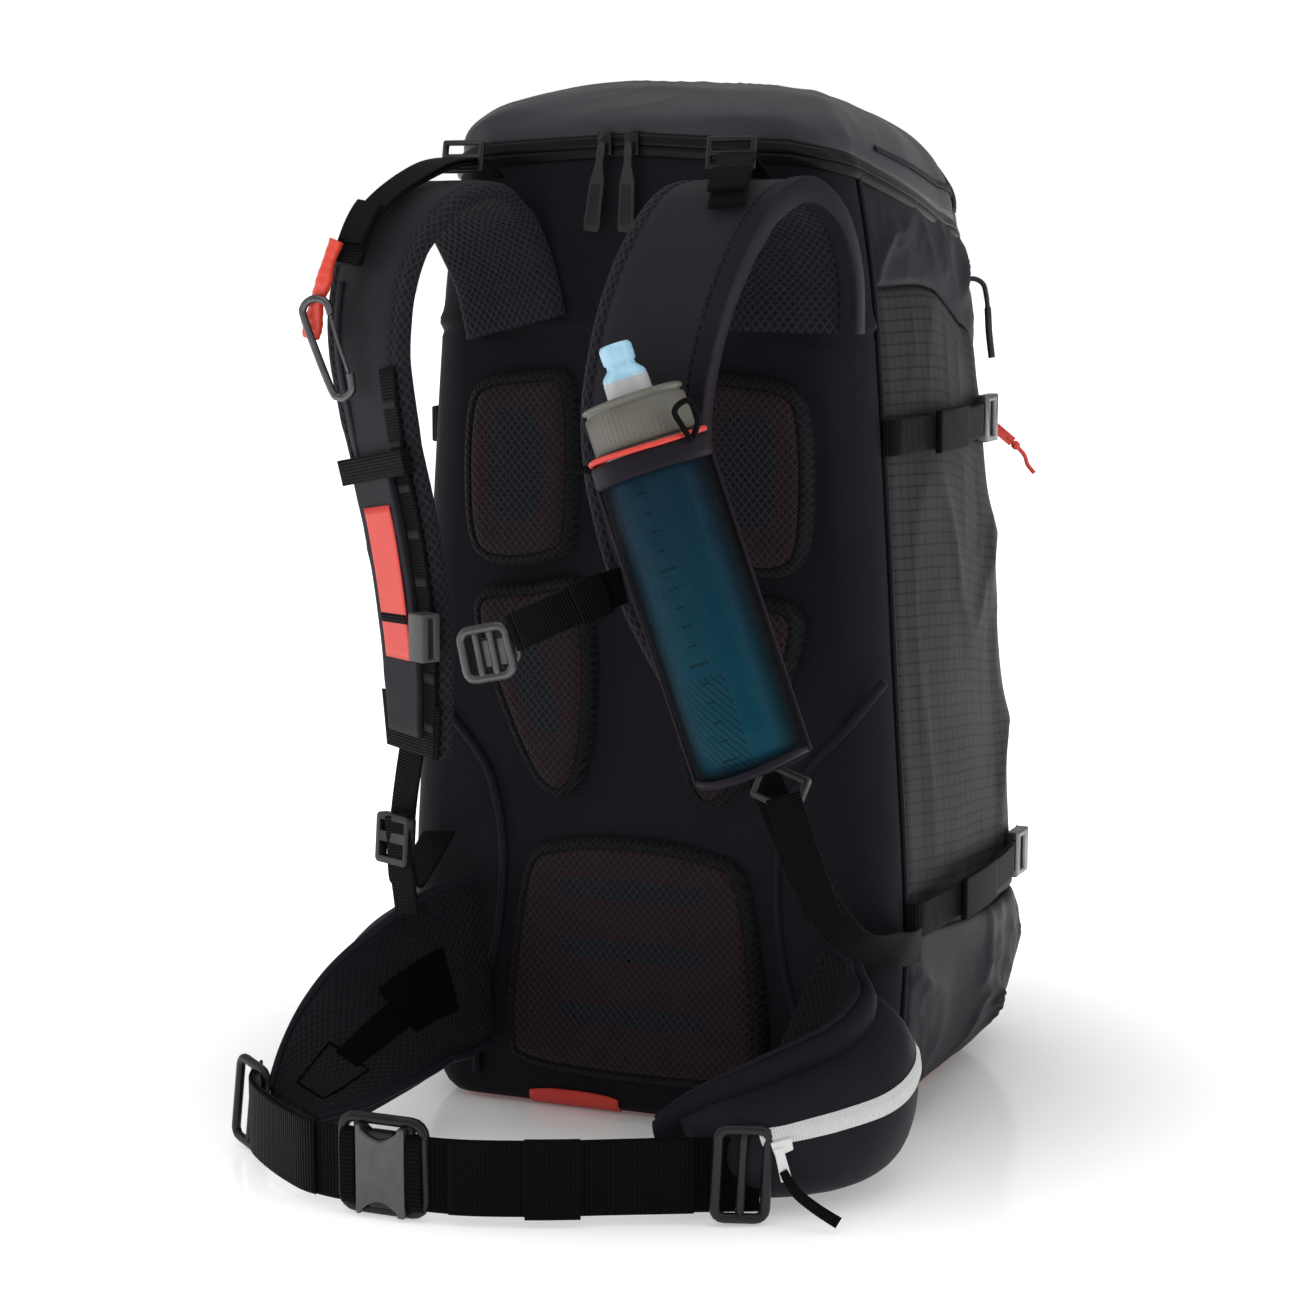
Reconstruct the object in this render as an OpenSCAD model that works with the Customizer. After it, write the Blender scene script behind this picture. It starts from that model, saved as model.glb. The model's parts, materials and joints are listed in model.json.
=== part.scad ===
/* [Bag] */
// Width of the bag at its widest
bag_w = 300; // [280:2:320]
// Height of the crown of the lid
bag_h = 588; // [580:1:596]
// Distance from the origin to the outer face of the back panel
back_d = 112; // [106:1:118]
// Thickness of the laminated fabric panels
shell_t = 3; // [2:0.5:4]
// Radius of the two long edges beside the back panel
edge_r = 26; // [20:1:32]

/* [Harness] */
// Width of the padded shoulder straps
strap_w = 68; // [60:1:76]
// Thickness of the shoulder strap padding
strap_t = 10; // [8:1:12]
// Height of the back pads over the panel
pad_h = 12; // [8:1:14]
// Thickness of the hip wings
wing_t = 12; // [8:1:14]

/* [Webbing] */
// Width of the hip belt webbing
belt_w = 40; // [36:1:44]
// Width of the sternum and compression webbing
web_w = 20; // [18:1:25]
// Thickness of all webbing
web_t = 1.8; // [1.2:0.2:2.4]

/* [Flask] */
// Diameter of the soft flask
flask_d = 56; // [50:1:58]
// Angle of the flask from upright
flask_tilt = 20; // [18:0.5:22]

/* [Hidden] */
$fn = 48;
// Gap between soft pieces that lie against each other
gap = 0.4;
back_y = -back_d;
// Half width of the bag and depth of its front, by height above the ground
side_profile = [for (p = [[0, 0.86], [30, 0.96], [80, 1], [140, 1], [250, 0.955], [400, 0.893],
  [480, 0.847], [540, 0.78], [600, 0.7]]) [p[0], p[1] * bag_w / 2]];
front_profile = [[0, 146], [30, 174], [80, 186], [140, 174], [250, 162], [330, 154], [400, 150],
  [460, 142], [520, 124], [560, 100]];
// Depth and squareness of the rounded front
front_round = 78;
front_power = 2.8;
// Stations round the bag: 0 back centre, 1 and 2 ends of the edge, 3 start of the front, 4 front centre
seam_s = 2.02;
front_s = 3.4;
zip_line = [[0, 556], [1, 551], [2, 543], [3, 512], [3.4, 500], [4, 492]];
ripstop_top = [[2, 473], [2.6, 470], [3, 448], [3.4, 428], [4, 424]];
ripstop_foot = [[2, 117], [2.5, 104], [3, 98], [4, 96]];
base_z = 6;

// Vectors, curves and closed skins
function unit(v) = v / norm(v);
function mix(a, b, t) = a + (b - a) * t;
function catmull(a, b, c, d, t) =
  0.5 * (2 * b + (c - a) * t + (2 * a - 5 * b + 4 * c - d) * t * t + (3 * b - a - 3 * c + d) * t * t * t);
function spline(p, n) = [
  for (i = [0:len(p) - 2], j = [0:n - 1])
    catmull(p[max(0, i - 1)], p[i], p[i + 1], p[min(len(p) - 1, i + 2)], j / n),
  p[len(p) - 1]
];
function closed_spline(p, n) = let (k = len(p)) [
  for (i = [0:k - 1], j = [0:n - 1])
    catmull(p[(i + k - 1) % k], p[i], p[(i + 1) % k], p[(i + 2) % k], j / n)
];
function centre(p) = [for (q = p) 1] * p / len(p);

// Solid through a list of rings that all have the same number of points
module loft(rings) {
  k = len(rings[0]);
  last = (len(rings) - 1) * k;
  polyhedron(
    points = [for (r = rings) each r],
    faces = concat(
      [[for (j = [0:k - 1]) j]],
      [[for (j = [k - 1:-1:0]) last + j]],
      [for (i = [0:len(rings) - 2], j = [0:k - 1]) [i * k + j, i * k + k + j, i * k + (j + 1) % k]],
      [for (i = [0:len(rings) - 2], j = [0:k - 1])
        [i * k + k + j, i * k + k + (j + 1) % k, i * k + (j + 1) % k]]
    )
  );
}

// Closed skin between two grids of points with the same rows and columns
module skin(outer, inner) {
  m = len(outer);
  k = len(outer[0]);
  n = m * k;
  polyhedron(
    points = concat([for (r = outer) each r], [for (r = inner) each r]),
    faces = concat(
      [for (i = [0:m - 2], j = [0:k - 2]) each
        let (a = i * k + j, b = a + 1, d = a + k, c = d + 1)
        [[a, d, b], [d, c, b], [n + a, n + b, n + d], [n + d, n + b, n + c]]],
      [for (j = [0:k - 2]) each
        let (a = j, b = a + 1, c = (m - 1) * k + j, d = c + 1)
        [[a, b, n + b], [a, n + b, n + a], [c, n + c, n + d], [c, n + d, d]]],
      [for (i = [0:m - 2]) each
        let (a = i * k, d = a + k, b = a + k - 1, c = b + k)
        [[a, n + a, n + d], [a, n + d, d], [b, n + c, n + b], [b, c, n + c]]]
    )
  );
}

// Point of the bag's outline at station s and height z, pushed in by o
function rim(s, z, o = 0) =
  let (
    q = abs(s) > 4 ? 8 - abs(s) : abs(s),
    m = (s < 0 ? -1 : 1) * (abs(s) > 4 ? -1 : 1),
    w = lookup(z, side_profile),
    f = lookup(z, front_profile),
    y3 = f - front_round,
    y2 = back_y + edge_r,
    a = 90 * (q - 3)
  )
  q < 1 ? [m * (w - edge_r) * q, back_y + o, z] :
  q < 2 ? [m * (w - edge_r + (edge_r - o) * sin(90 * (q - 1))), y2 - (edge_r - o) * cos(90 * (q - 1)), z] :
  q < 3 ? [m * (w - o), mix(y2, y3, q - 2), z] :
  [m * (w - o) * pow(max(0, cos(a)), 2 / front_power),
   y3 + (front_round - o) * pow(max(0, sin(a)), 2 / front_power), z];
function station(s) = abs(s) > 4 ? 8 - abs(s) : abs(s);

// Panel of the bag over stations ss between heights given by two tables, rows high
module panel(ss, lo, hi, rows, lo_gap = 0, hi_gap = 0, out = 0, into = shell_t) {
  rows_at = function(o) [for (i = [0:rows]) [for (s = ss)
    rim(s, mix(lookup(station(s), lo) + lo_gap, lookup(station(s), hi) - hi_gap, i / rows), o)]];
  skin(rows_at(out), rows_at(into));
}
function level(z) = [[0, z], [4, z]];
function steps(a, b, n) = [for (i = [0:n]) mix(a, b, i / n)];

module back_panel() {
  color("#2b2a2e")
    panel([-2, -1.8, -1.55, -1.3, -1, -0.5, 0, 0.5, 1, 1.3, 1.55, 1.8, 2], level(base_z), zip_line, 9,
      0, gap);
}
module side_panel() {
  color("#55575a")
    panel(steps(seam_s, front_s - 0.005, 8), ripstop_foot, ripstop_top, 8, gap, gap);
}
module side_panel_right() side_panel();
module side_panel_left() mirror([1, 0, 0]) side_panel();
module lower_shell() {
  color("#1d1b20")
    panel(steps(seam_s, 8 - seam_s, 24), level(base_z), ripstop_foot, 4, gap, gap);
}
module upper_shell() {
  color("#2a262d")
    panel(steps(seam_s, 8 - seam_s, 24), ripstop_top, zip_line, 4, gap, gap);
}
module front_panel() {
  color("#232127")
    panel(steps(front_s + 0.005, 8 - front_s - 0.005, 10), ripstop_foot, ripstop_top, 6, gap, gap);
}
module base_panel() {
  color("#c8352c") linear_extrude(base_z - gap)
    polygon([for (s = steps(-4, 3.8, 39)) let (p = rim(s, 0, 4)) [p[0], p[1]]]);
}

// Domed lid: rings from the zip line to the crown, then the same pushed in
lid_steps = 7;
lid_y = 0;
function lid_ring(q, o) = [
  for (s = steps(-4, 3.8, 39))
    let (
      z0 = lookup(abs(s), zip_line) + gap,
      p = rim(s, z0, o),
      f = max(0.06, pow(cos(90 * q), 0.85)),
      g = pow(sin(90 * q), 0.85)
    )
    [p[0] * f, mix(lid_y, p[1], f), mix(z0, bag_h - o, g)]
];
module lid() {
  color("#2c2830") loft(concat(
    [for (i = [lid_steps:-1:0]) lid_ring(i / lid_steps, shell_t)],
    [for (i = [0:lid_steps]) lid_ring(i / lid_steps, 0)]
  ));
}

// Tool pocket bulging from the front, with a rim that lies on the front panel
pocket_low = 140;
pocket_high = 470;
pocket_bulge = 20;
function pocket_point(s, i, rows, o) =
  let (
    z = mix(pocket_low, pocket_high, i / rows),
    rise = pow(max(0, sin(180 * i / rows)), 0.4) * pow(max(0, cos(90 * (s - 4) / 0.5)), 0.4)
  )
  rim(s, z, -1 - shell_t * (1 - o) - pocket_bulge * rise);
module front_pocket() {
  pocket_rows = 10;
  columns = steps(3.52, 4.48, 14);
  color("#29262c") skin(
    [for (i = [0:pocket_rows]) [for (s = columns) pocket_point(s, i, pocket_rows, 0)]],
    [for (i = [0:pocket_rows]) [for (s = columns) pocket_point(s, i, pocket_rows, 1)]]
  );
}

// Zip round the lid and down both front corners, lying on the fabric
zip_w = 11;
zip_foot = 210;
zip_t = 1.4;
zip_lie = -1;
module main_zip() {
  low = [for (p = zip_line) [p[0], p[1] - zip_w]];
  color("#17161a") {
    panel(concat(steps(-3.46, -2, 14), [-1.75, -1.5, -1.25, -1, -0.5, 0.5, 1, 1.25, 1.5, 1.75],
      steps(2, 3.46, 14)), low, zip_line, 2, 0, 1, zip_lie - zip_t, zip_lie);
    for (m = [0, 1]) mirror([m, 0, 0])
      panel(steps(3.36, 3.44, 2), level(zip_foot), low, 12, 0, gap, zip_lie - zip_t, zip_lie);
  }
}

// Slider body with its eye, and the long flat pull that swings from it
slider_x = 8;
slider_y = back_y - 2.6;
slider_z = 551;
module zip_slider(x) {
  color("#2a2a2c") translate([x, slider_y, slider_z]) difference() {
    union() {
      translate([-4, -3.2, -6]) cube([8, 3, 12]);
      translate([-2.4, -7, -4]) cube([4.8, 4.2, 3.6]);
    }
    translate([0, -5.4, -2.2]) rotate([0, 90, 0]) cylinder(d = 1.8, h = 10, center = true, $fn = 24);
  }
}
module zip_slider_left() zip_slider(-slider_x - 9.4);
module zip_slider_right() zip_slider(slider_x - 9.4);
pull_len = 46;
module zip_pull(x) {
  color("#3c3c3f") translate([x, slider_y - 5.4, slider_z - 2.2]) {
    rotate([0, 90, 0]) cylinder(d = 1.6, h = 8, center = true, $fn = 24);
    difference() {
      translate([0, 0.8, 0]) rotate([90, 0, 0]) linear_extrude(1.6) hull() {
        square([8, 2], center = true);
        translate([0, -pull_len]) square([9, 4], center = true);
      }
      translate([-2.8, -4, -2.6]) cube([5.6, 8, 5.2]);
    }
  }
}
module zip_pull_left() zip_pull(-slider_x - 9.4);
module zip_pull_right() zip_pull(slider_x - 9.4);

// Pulls of the front pocket zip: a long dark tab and a red cord tab
module pocket_zip_pull() {
  color("#3c3c3f") translate([118, 125, 466]) {
    rotate([0, 90, 25]) cylinder(d = 3, h = 7, center = true, $fn = 24);
    translate([-0.9, -2.5, -42]) cube([1.8, 5, 42]);
  }
}
module red_pull() {
  color("#d8422f") translate([122, 131, 392]) rotate([0, -50, 20]) {
    translate([0, 0, -6]) cylinder(d = 3, h = 9, $fn = 24);
    translate([-3, -1, -28]) cube([6, 2, 24]);
  }
}

// Frame and airbag system inside the bag
module frame_sheet() {
  color("#d8d8d4") translate([-92, back_y + 4.4, 40]) cube([184, 1.6, 460]);
}
module frame_stays() {
  color("#b8bcc0") for (x = [-64, 52])
    translate([x, back_y + 6.6, 50]) cube([12, 3, 440]);
}
module airbag() {
  color("#e8722c") translate([0, -25, 500]) hull() {
    for (x = [-60, 60], y = [-36, 36], z = [14, 44])
      translate([x, y, z]) sphere(12, $fn = 16);
  }
}
bottle_r = 27;
module gas_cylinder() {
  color("#8d9196") translate([64, -58, 250]) rotate_extrude() polygon([
    [0, 0], [bottle_r - 8, 0], [bottle_r, 8], [bottle_r, 150], [bottle_r - 9, 170], [10, 178],
    [10, 190], [0, 190]]);
}
module release_head() {
  color("#202225") translate([64, -58, 440.2]) {
    cylinder(r = 20, h = 30);
    translate([-46, 0, 16]) rotate([0, 90, 0]) cylinder(d = 14, h = 28);
    translate([0, 0, 29]) cylinder(d = 9, h = 10);
  }
}

// Cushion on the back panel, from an outline seen from the wearer's side
module cushion(outline, height = pad_h) {
  c = centre(outline);
  ring = function(y, k) [for (p = outline) let (q = c + (p - c) * k) [q[0], y, q[1]]];
  loft([
    ring(back_y - gap, 0.97), ring(back_y - 0.25 * height, 1), ring(back_y - 0.7 * height, 0.985),
    ring(back_y - 0.93 * height, 0.93), ring(back_y - height, 0.84)
  ]);
}
upper_pad = closed_spline([[56, 324], [82, 316], [102, 338], [104, 385], [95, 414], [68, 423], [41, 428],
  [36, 395], [38, 350]], 3);
lower_pad = closed_spline([[48, 184], [64, 196], [82, 232], [99, 280], [94, 301], [64, 306], [33, 309],
  [25, 275], [26, 222], [34, 192]], 3);
lumbar_outline = closed_spline([[-66, 26], [0, 22], [66, 26], [80, 44], [76, 100], [66, 148], [44, 160],
  [0, 164], [-44, 160], [-66, 148], [-76, 100], [-80, 44]], 3);
module upper_pad_right() color("#3a2a30") cushion(upper_pad);
module upper_pad_left() color("#3a2a30") mirror([1, 0, 0]) cushion(upper_pad);
module lower_pad_right() color("#3a2a30") cushion(lower_pad);
module lower_pad_left() color("#3a2a30") mirror([1, 0, 0]) cushion(lower_pad);
module lumbar_pad() color("#3a2a30") cushion(lumbar_outline);

// Strips that follow a path. A path is a list of [x, y, z, ax, ay, az, half width], where a points
// across the strip; frame() gives the point, the direction across and the outward direction.
function tangent(p, i) =
  let (a = p[max(0, i - 1)], b = p[min(len(p) - 1, i + 1)]) unit([for (k = [0:2]) b[k] - a[k]]);
function frame(p, i) =
  let (t = tangent(p, i), a = [for (k = [3:5]) p[i][k]], w = unit(a - t * (a * t)))
  [[for (k = [0:2]) p[i][k]], w, cross(t, w)];
// Points across: c0 and c1 are shares of the half width, n0 and n1 distances outward, r a bevel and
// cuts the number of strips on each face
function band_ring(p, i, c0, c1, n0, n1, r, cuts) =
  let (
    f = frame(p, i), h = p[i][6], at = function(c, n) f[0] + f[1] * c + f[2] * n,
    row = [for (k = [0:cuts]) mix(c0 * h + r, c1 * h - r, k / cuts)]
  )
  concat(
    [for (c = row) at(c, n0)],
    r == 0 ? [] : [at(c1 * h, n0 + r), at(c1 * h, n1 - r)],
    [for (k = [cuts:-1:0]) at(row[k], n1)],
    r == 0 ? [] : [at(c0 * h, n1 - r), at(c0 * h, n0 + r)]
  );
module band(p, i0, i1, c0 = -1, c1 = 1, n0 = -web_t / 2, n1 = web_t / 2, r = 0, cuts = 1) {
  loft([for (i = [i0:i1]) band_ring(p, i, c0, c1, n0, n1, r, cuts)]);
}

// Shoulder straps: from the yoke up the panel, over the shoulder and down in front
half_strap = strap_w / 2;
left_path = spline([
  [-84, -118, 450, 1, 0, 0, half_strap + 4], [-84, -118.5, 482, 1, 0, 0, half_strap + 2],
  [-86, -131, 510, 1, 0, 0, half_strap + 1], [-92, -156, 525, 1, -0.1, 0, half_strap],
  [-102, -183, 517, 1, -0.25, 0, half_strap], [-113, -201, 488, 1, -0.4, 0, half_strap],
  [-116, -208, 445, 0.9, -0.42, 0, half_strap], [-108, -209, 395, 0.86, -0.5, 0, half_strap],
  [-97, -207, 340, 0.86, -0.5, 0, half_strap - 1], [-91, -203, 280, 0.86, -0.5, 0, half_strap - 3],
  [-91, -199, 222, 0.86, -0.5, 0, half_strap - 9]], 3);
right_path = spline([
  [93, -118, 450, 1, 0, 0, half_strap + 3], [93, -118.5, 482, 1, 0, 0, half_strap + 2],
  [90, -131, 510, 1, 0, 0, half_strap + 1], [83, -156, 525, 1, 0, 0, half_strap],
  [73, -183, 517, 1, 0, 0, half_strap], [61, -201, 488, 1, 0, 0, half_strap],
  [49, -208, 445, 1, 0, 0, half_strap], [44, -209, 395, 1, 0, 0, half_strap],
  [56, -207, 335, 1, 0, 0, half_strap - 1], [80, -203, 280, 1, 0, 0, half_strap - 4],
  [103, -199, 232, 1, 0, 0, half_strap - 10]], 3);
module strap_left() {
  color("#26232a") band(left_path, 0, len(left_path) - 1, -1, 1, -strap_t / 2, strap_t / 2, 3);
}
module strap_right() {
  color("#26232a") band(right_path, 0, len(right_path) - 1, -1, 1, -strap_t / 2, strap_t / 2, 3);
}

// Sleeve with the handle's zip, on the outer face of the left strap, and the daisy chain beside it
on_strap = strap_t / 2 + 0.7;
module trigger_sleeve() {
  color("#211e25") band(left_path, 21, 28, -0.62, 0.42, on_strap, on_strap + 5, 1.5);
}
module daisy_chain() {
  color("#141316") band(left_path, 19, 30, 0.46, 0.94, on_strap, on_strap + web_t);
}

// Load-lifter webbing from the top of the bag to each strap, threaded through a ring
lifter_half = web_w / 2;
left_lifter = spline([
  [-86, -121, 533, 1, 0, 0, lifter_half], [-88, -140, 540, 1, 0, 0, lifter_half],
  [-99, -170, 536, 1, 0, 0, lifter_half], [-116, -200, 516, 1, -0.3, 0, lifter_half],
  [-124, -214, 486, 1, -0.4, 0, lifter_half]], 3);
right_lifter = spline([
  [71, -121, 533, 1, 0, 0, lifter_half], [69, -140, 541, 1, 0, 0, lifter_half],
  [66, -168, 539, 1, 0, 0, lifter_half], [62, -196, 523, 1, 0, 0, lifter_half],
  [58, -214, 494, 1, 0, 0, lifter_half]], 3);
module lifter_webbings() {
  color("#161518") {
    band(left_lifter, 0, 12);
    band(right_lifter, 0, 12);
  }
}
// Flat frame with a bar across its middle: outer size, rim, thickness
module tri_glide(w, h, rim_w, t) {
  difference() {
    linear_extrude(t, center = true)
      offset(r = rim_w / 2) offset(delta = -rim_w / 2) square([w, h], center = true);
    for (m = [-1, 1]) translate([0, m * (h - rim_w) / 4, 0])
      cube([w - 2 * rim_w, (h - 3 * rim_w) / 2, 2 * t], center = true);
  }
}
// Each ring stands on the webbing, which passes through its lower window
ring_window = 4.6;
module lifter_rings() {
  color("#222224") {
    translate([-89.5, -146, 543.9]) rotate([82, 0, -14]) tri_glide(web_w + 9, 2 * ring_window + 9, 3, 3);
    translate([68.4, -146, 544.9]) rotate([82, 0, -4]) tri_glide(web_w + 9, 2 * ring_window + 9, 3, 3);
  }
}

// Red trigger handle on the outer edge of the left strap, and the carabiner clipped below it
handle_top = [-139, -214, 492];
module trigger_handle() {
  color("#e2442f") translate(handle_top) rotate([0, 14, 0]) {
    rotate([90, 0, 0]) linear_extrude(8, center = true) difference() {
      offset(r = 5) offset(delta = -5) polygon([[-6, 2], [6, 2], [8, -42], [-8, -42]]);
      translate([-4, -36]) square([8, 12]);
    }
  }
}
// Wire-gate carabiner: bent rod with a sprung wire loop closing it
carabiner_at = [-141, -222, 462];
module placed_carabiner() translate(carabiner_at) rotate([0, -20, 0]) rotate([90, 0, 0]) children();
module carabiner() {
  rod = 5;
  color("#9a9ca0") placed_carabiner() {
    difference() {
      linear_extrude(rod, center = true) difference() {
        offset(r = 9) offset(delta = -9) polygon([[-12, 10], [14, 10], [11, -52], [-9, -52]]);
        offset(r = 4) offset(delta = -4) polygon([[-7, 5], [9, 5], [6, -47], [-4, -47]]);
      }
      translate([5, -39, -5]) cube([12, 35, 10]);
    }
  }
}
module carabiner_gate() {
  color("#c9ccd0") placed_carabiner() translate([10, -38.1, 0])
    rotate([-90, 0, 0]) cylinder(d = 3, h = 33.4, $fn = 24);
}

// Sternum strap: slider on the left strap, metal frame buckle, hook and webbing to the right strap
sternum_path = spline([
  [-64, -238, 285, 0, 0, 1, lifter_half], [-40, -246, 286, 0, 0.1, 1, lifter_half],
  [-14, -247, 297, -0.3, 0, 1, lifter_half], [10, -243, 308, -0.3, 0, 1, lifter_half],
  [30, -232, 318, -0.2, 0, 1, lifter_half], [38, -220, 322, 0, 0, 1, lifter_half]], 3);
module sternum_slider() {
  color("#3a3a3e") translate([-71, -231, 290]) rotate([0, 0, -30]) difference() {
    translate([-7, -8, -13]) cube([14, 12, 26]);
    translate([-8, -3.4, -11]) cube([16, 3, 22]);
  }
}
module sternum_webbing() {
  color("#141316") {
    band(sternum_path, 6, 15);
    band(sternum_path, 10, 13, -1.1, 1.1, web_t / 2 + gap, web_t + 4, 0);
  }
}
module sternum_frame() {
  color("#6d6e72") translate([-28, -247, 286]) rotate([90, 0, 5]) difference() {
    linear_extrude(5, center = true) offset(r = 3) offset(delta = -3) square([28, 27], center = true);
    translate([6, 0, 0]) cube([9, 20, 8], center = true);
    translate([-9, 0, 0]) cube([4, 20, 8], center = true);
  }
}
module sternum_hook() {
  color("#5a5b5f") translate([-20, -241, 287]) rotate([90, 0, 5]) linear_extrude(4, center = true)
    offset(r = 2) offset(delta = -2) square([24, 18], center = true);
}

// Lower strap webbing and the ladder locks that take it up
left_lower = spline([
  [-98, -200, 218, 1, -0.4, 0, lifter_half], [-103, -199, 190, 1, -0.4, 0, lifter_half],
  [-107, -196, 162, 1, -0.3, 0, lifter_half], [-111, -182, 142, 1, -0.2, 0, lifter_half],
  [-117, -152, 147, 1, 0, 0, lifter_half], [-123, -118, 158, 1, 0, 0, lifter_half]], 3);
right_lower = spline([
  [107, -197, 224, 1, 0, 0.3, lifter_half], [119, -193, 195, 1, 0, 0.35, lifter_half],
  [132, -184, 160, 1, 0.1, 0.3, lifter_half], [146, -160, 128, 1, 0.6, 0.2, lifter_half],
  [160, -120, 116, 0.3, 1, 0.6, lifter_half], [160, -88, 112, 0, 0.3, 1, lifter_half]], 3);
module lower_webbings() {
  color("#161518") {
    band(left_lower, 0, 15);
    band(right_lower, 0, 15);
  }
}
module ladder_lock(w, h) {
  difference() {
    linear_extrude(6, center = true) offset(r = 3) offset(delta = -3) square([w, h], center = true);
    translate([0, h / 2 - 7, 0]) cube([w - 7, 6, 8], center = true);
    translate([0, -h / 2 + 8, 0]) cube([w - 7, 8, 8], center = true);
  }
}
module ladder_lock_left() {
  color("#1c1c1e") translate([-106, -204, 172]) rotate([86, 0, -24]) ladder_lock(web_w + 8, 28);
}
module ladder_lock_right() {
  color("#1c1c1e") translate([120, -203, 218]) rotate([86, 20, 0]) ladder_lock(web_w + 8, 22);
}

// Bottle pocket on the right strap, with the soft flask, its cap and bite valve
flask_at = [123, -246, 232];
module on_flask() translate(flask_at) rotate([0, -flask_tilt, 0]) children();
pocket_r = flask_d / 2 + 2;
module bottle_pocket() {
  color("#1e1c22") on_flask() difference() {
    cylinder(r = pocket_r, h = 172);
    translate([0, 0, 2]) cylinder(r = flask_d / 2 + 0.5, h = 172);
  }
}
module flask() {
  r = flask_d / 2;
  color("#1f5f78") on_flask() rotate_extrude() polygon([[0, 3], [r - 6, 3], [r, 9], [r, 158],
    [r - 3, 170], [21, 176], [21, 190], [0, 190]]);
}
module flask_cap() {
  color("#8d8c86") on_flask() translate([0, 0, 176.5]) difference() {
    union() {
      cylinder(r = 26, h = 22);
      translate([0, 0, 22]) cylinder(r1 = 26, r2 = 21, h = 3);
      translate([0, 0, 25]) cylinder(r = 8, h = 8);
    }
    translate([0, 0, -1]) cylinder(r = 21.3, h = 15);
  }
}
module bite_valve() {
  color("#9cc9dc") on_flask() translate([0, 0, 202]) difference() {
    union() {
      cylinder(r = 11.5, h = 12);
      translate([0, 0, 12]) cylinder(r1 = 11.5, r2 = 7.5, h = 6);
      translate([0, 0, 18]) cylinder(r = 8.5, h = 10);
    }
    translate([0, 0, -1]) cylinder(r = 8.2, h = 9);
  }
}
module pocket_bungee() {
  color("#c73a2e") on_flask() translate([0, 0, 173.6]) rotate_extrude()
    translate([flask_d / 2 + 2.2, 0]) circle(d = 3, $fn = 16);
}

// Hip wings. Each path runs along the middle of the wing; across is up the wing, outward away from
// the wearer, and half width half the wing's height.
wing_steps = 5;
wing_cuts = 4;
left_wing = spline([
  [-96, -121, 86, -0.05, 0, 1, 50], [-103, -150, 84, -0.15, 0, 1, 50], [-112, -182, 76, -0.42, 0, 1, 44],
  [-124, -210, 58, -0.8, 0.2, 0.8, 40], [-136, -233, 38, -1, 0.4, 0.45, 34],
  [-145, -252, 26, -1, 0.45, 0.35, 20]], wing_steps);
right_wing = spline([
  [104, -125, 78, 0.05, 0, 1, 50], [128, -135, 66, 0.12, 0, 1, 46], [146, -160, 58, 0.15, 0, 1, 44],
  [144, -196, 50, 0.15, 0, 1, 40], [120, -224, 42, 0.1, -0.05, 1, 34],
  [92, -238, 34, 0, -0.05, 1, 26], [70, -243, 27, 0, 0, 1, 17]], wing_steps);
half_wing = wing_t / 2;
pocket_gap = 1;
module wing_left() {
  color("#231f28") band(left_wing, 0, len(left_wing) - 1, -1, 1, -half_wing, half_wing, 4, wing_cuts);
}
module wing_right() {
  color("#231f28") band(right_wing, 0, len(right_wing) - 1, -1, 1, -half_wing, half_wing, 4, wing_cuts);
}
// Zipped pocket over a wing, swelling away from it between stations i0 and i1
module wing_pocket(path, i0, i1, side, depth, c0, c1) {
  rise = function(i) sin(180 * (i - i0) / (i1 - i0));
  ring = function(i) let (
      f = frame(path, i), h = path[i][6], n0 = side * (half_wing + pocket_gap),
      d = side * (2 + depth * pow(max(0, rise(i)), 0.6)),
      at = function(c, n) f[0] + f[1] * c * h + f[2] * n,
      p = [for (k = [0:wing_cuts]) at(mix(c0, c1, k / wing_cuts), n0)],
      q = [for (k = [[1, 0.5], [0.8, 0.9], [0.45, 1], [0.15, 0.85], [0, 0.45]])
        at(mix(c0, c1, k[0]), n0 + d * k[1])],
      whole = concat(p, q))
    side > 0 ? whole : [for (k = [len(whole) - 1:-1:0]) whole[k]];
  loft([for (i = [i0:i1]) ring(i)]);
}
module wing_pocket_right() color("#1e1c21") wing_pocket(right_wing, 4, 25, -1, 26, -0.98, 0.6);
module wing_pocket_left() color("#1e1c21") wing_pocket(left_wing, 6, 21, 1, 18, -0.7, 0.7);
wing_pull_at = [141, -252, 40];
module wing_zip_pull() {
  color("#e8e8e6") translate(wing_pull_at) {
    rotate([90, 0, 30]) cylinder(d = 7, h = 5, center = true, $fn = 24);
    rotate([0, -45, 22]) translate([-1.2, -2.5, -44]) cube([2.4, 5, 44]);
  }
}

// Belt: webbing with a side-release buckle, its sliders and a keeper
belt_half = belt_w / 2;
belt_z = 25;
belt_path = spline([
  [-172, -240, belt_z + 4, 0, 0, 1, belt_half], [-158, -272, belt_z + 2, 0, 0, 1, belt_half],
  [-118, -304, belt_z, 0, 0, 1, belt_half], [-86, -318, belt_z, 0, 0, 1, belt_half],
  [-24, -320, belt_z, 0, 0, 1, belt_half], [20, -306, belt_z, 0, 0, 1, belt_half],
  [60, -287, belt_z, 0, 0, 1, belt_half], [100, -266, belt_z, 0, 0, 1, belt_half],
  [128, -252, belt_z, 0, 0, 1, belt_half]], 3);
module belt_webbing() {
  color("#121114") {
    band(belt_path, 0, 9);
    band(belt_path, 12, 24);
    band(belt_path, 15, 17, -1.05, 1.05, web_t / 2 + gap, web_t / 2 + gap + 3);
  }
}
buckle_at = [-54, -320, belt_z];
module at_buckle() translate(buckle_at) rotate([90, 0, 0]) children();
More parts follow.
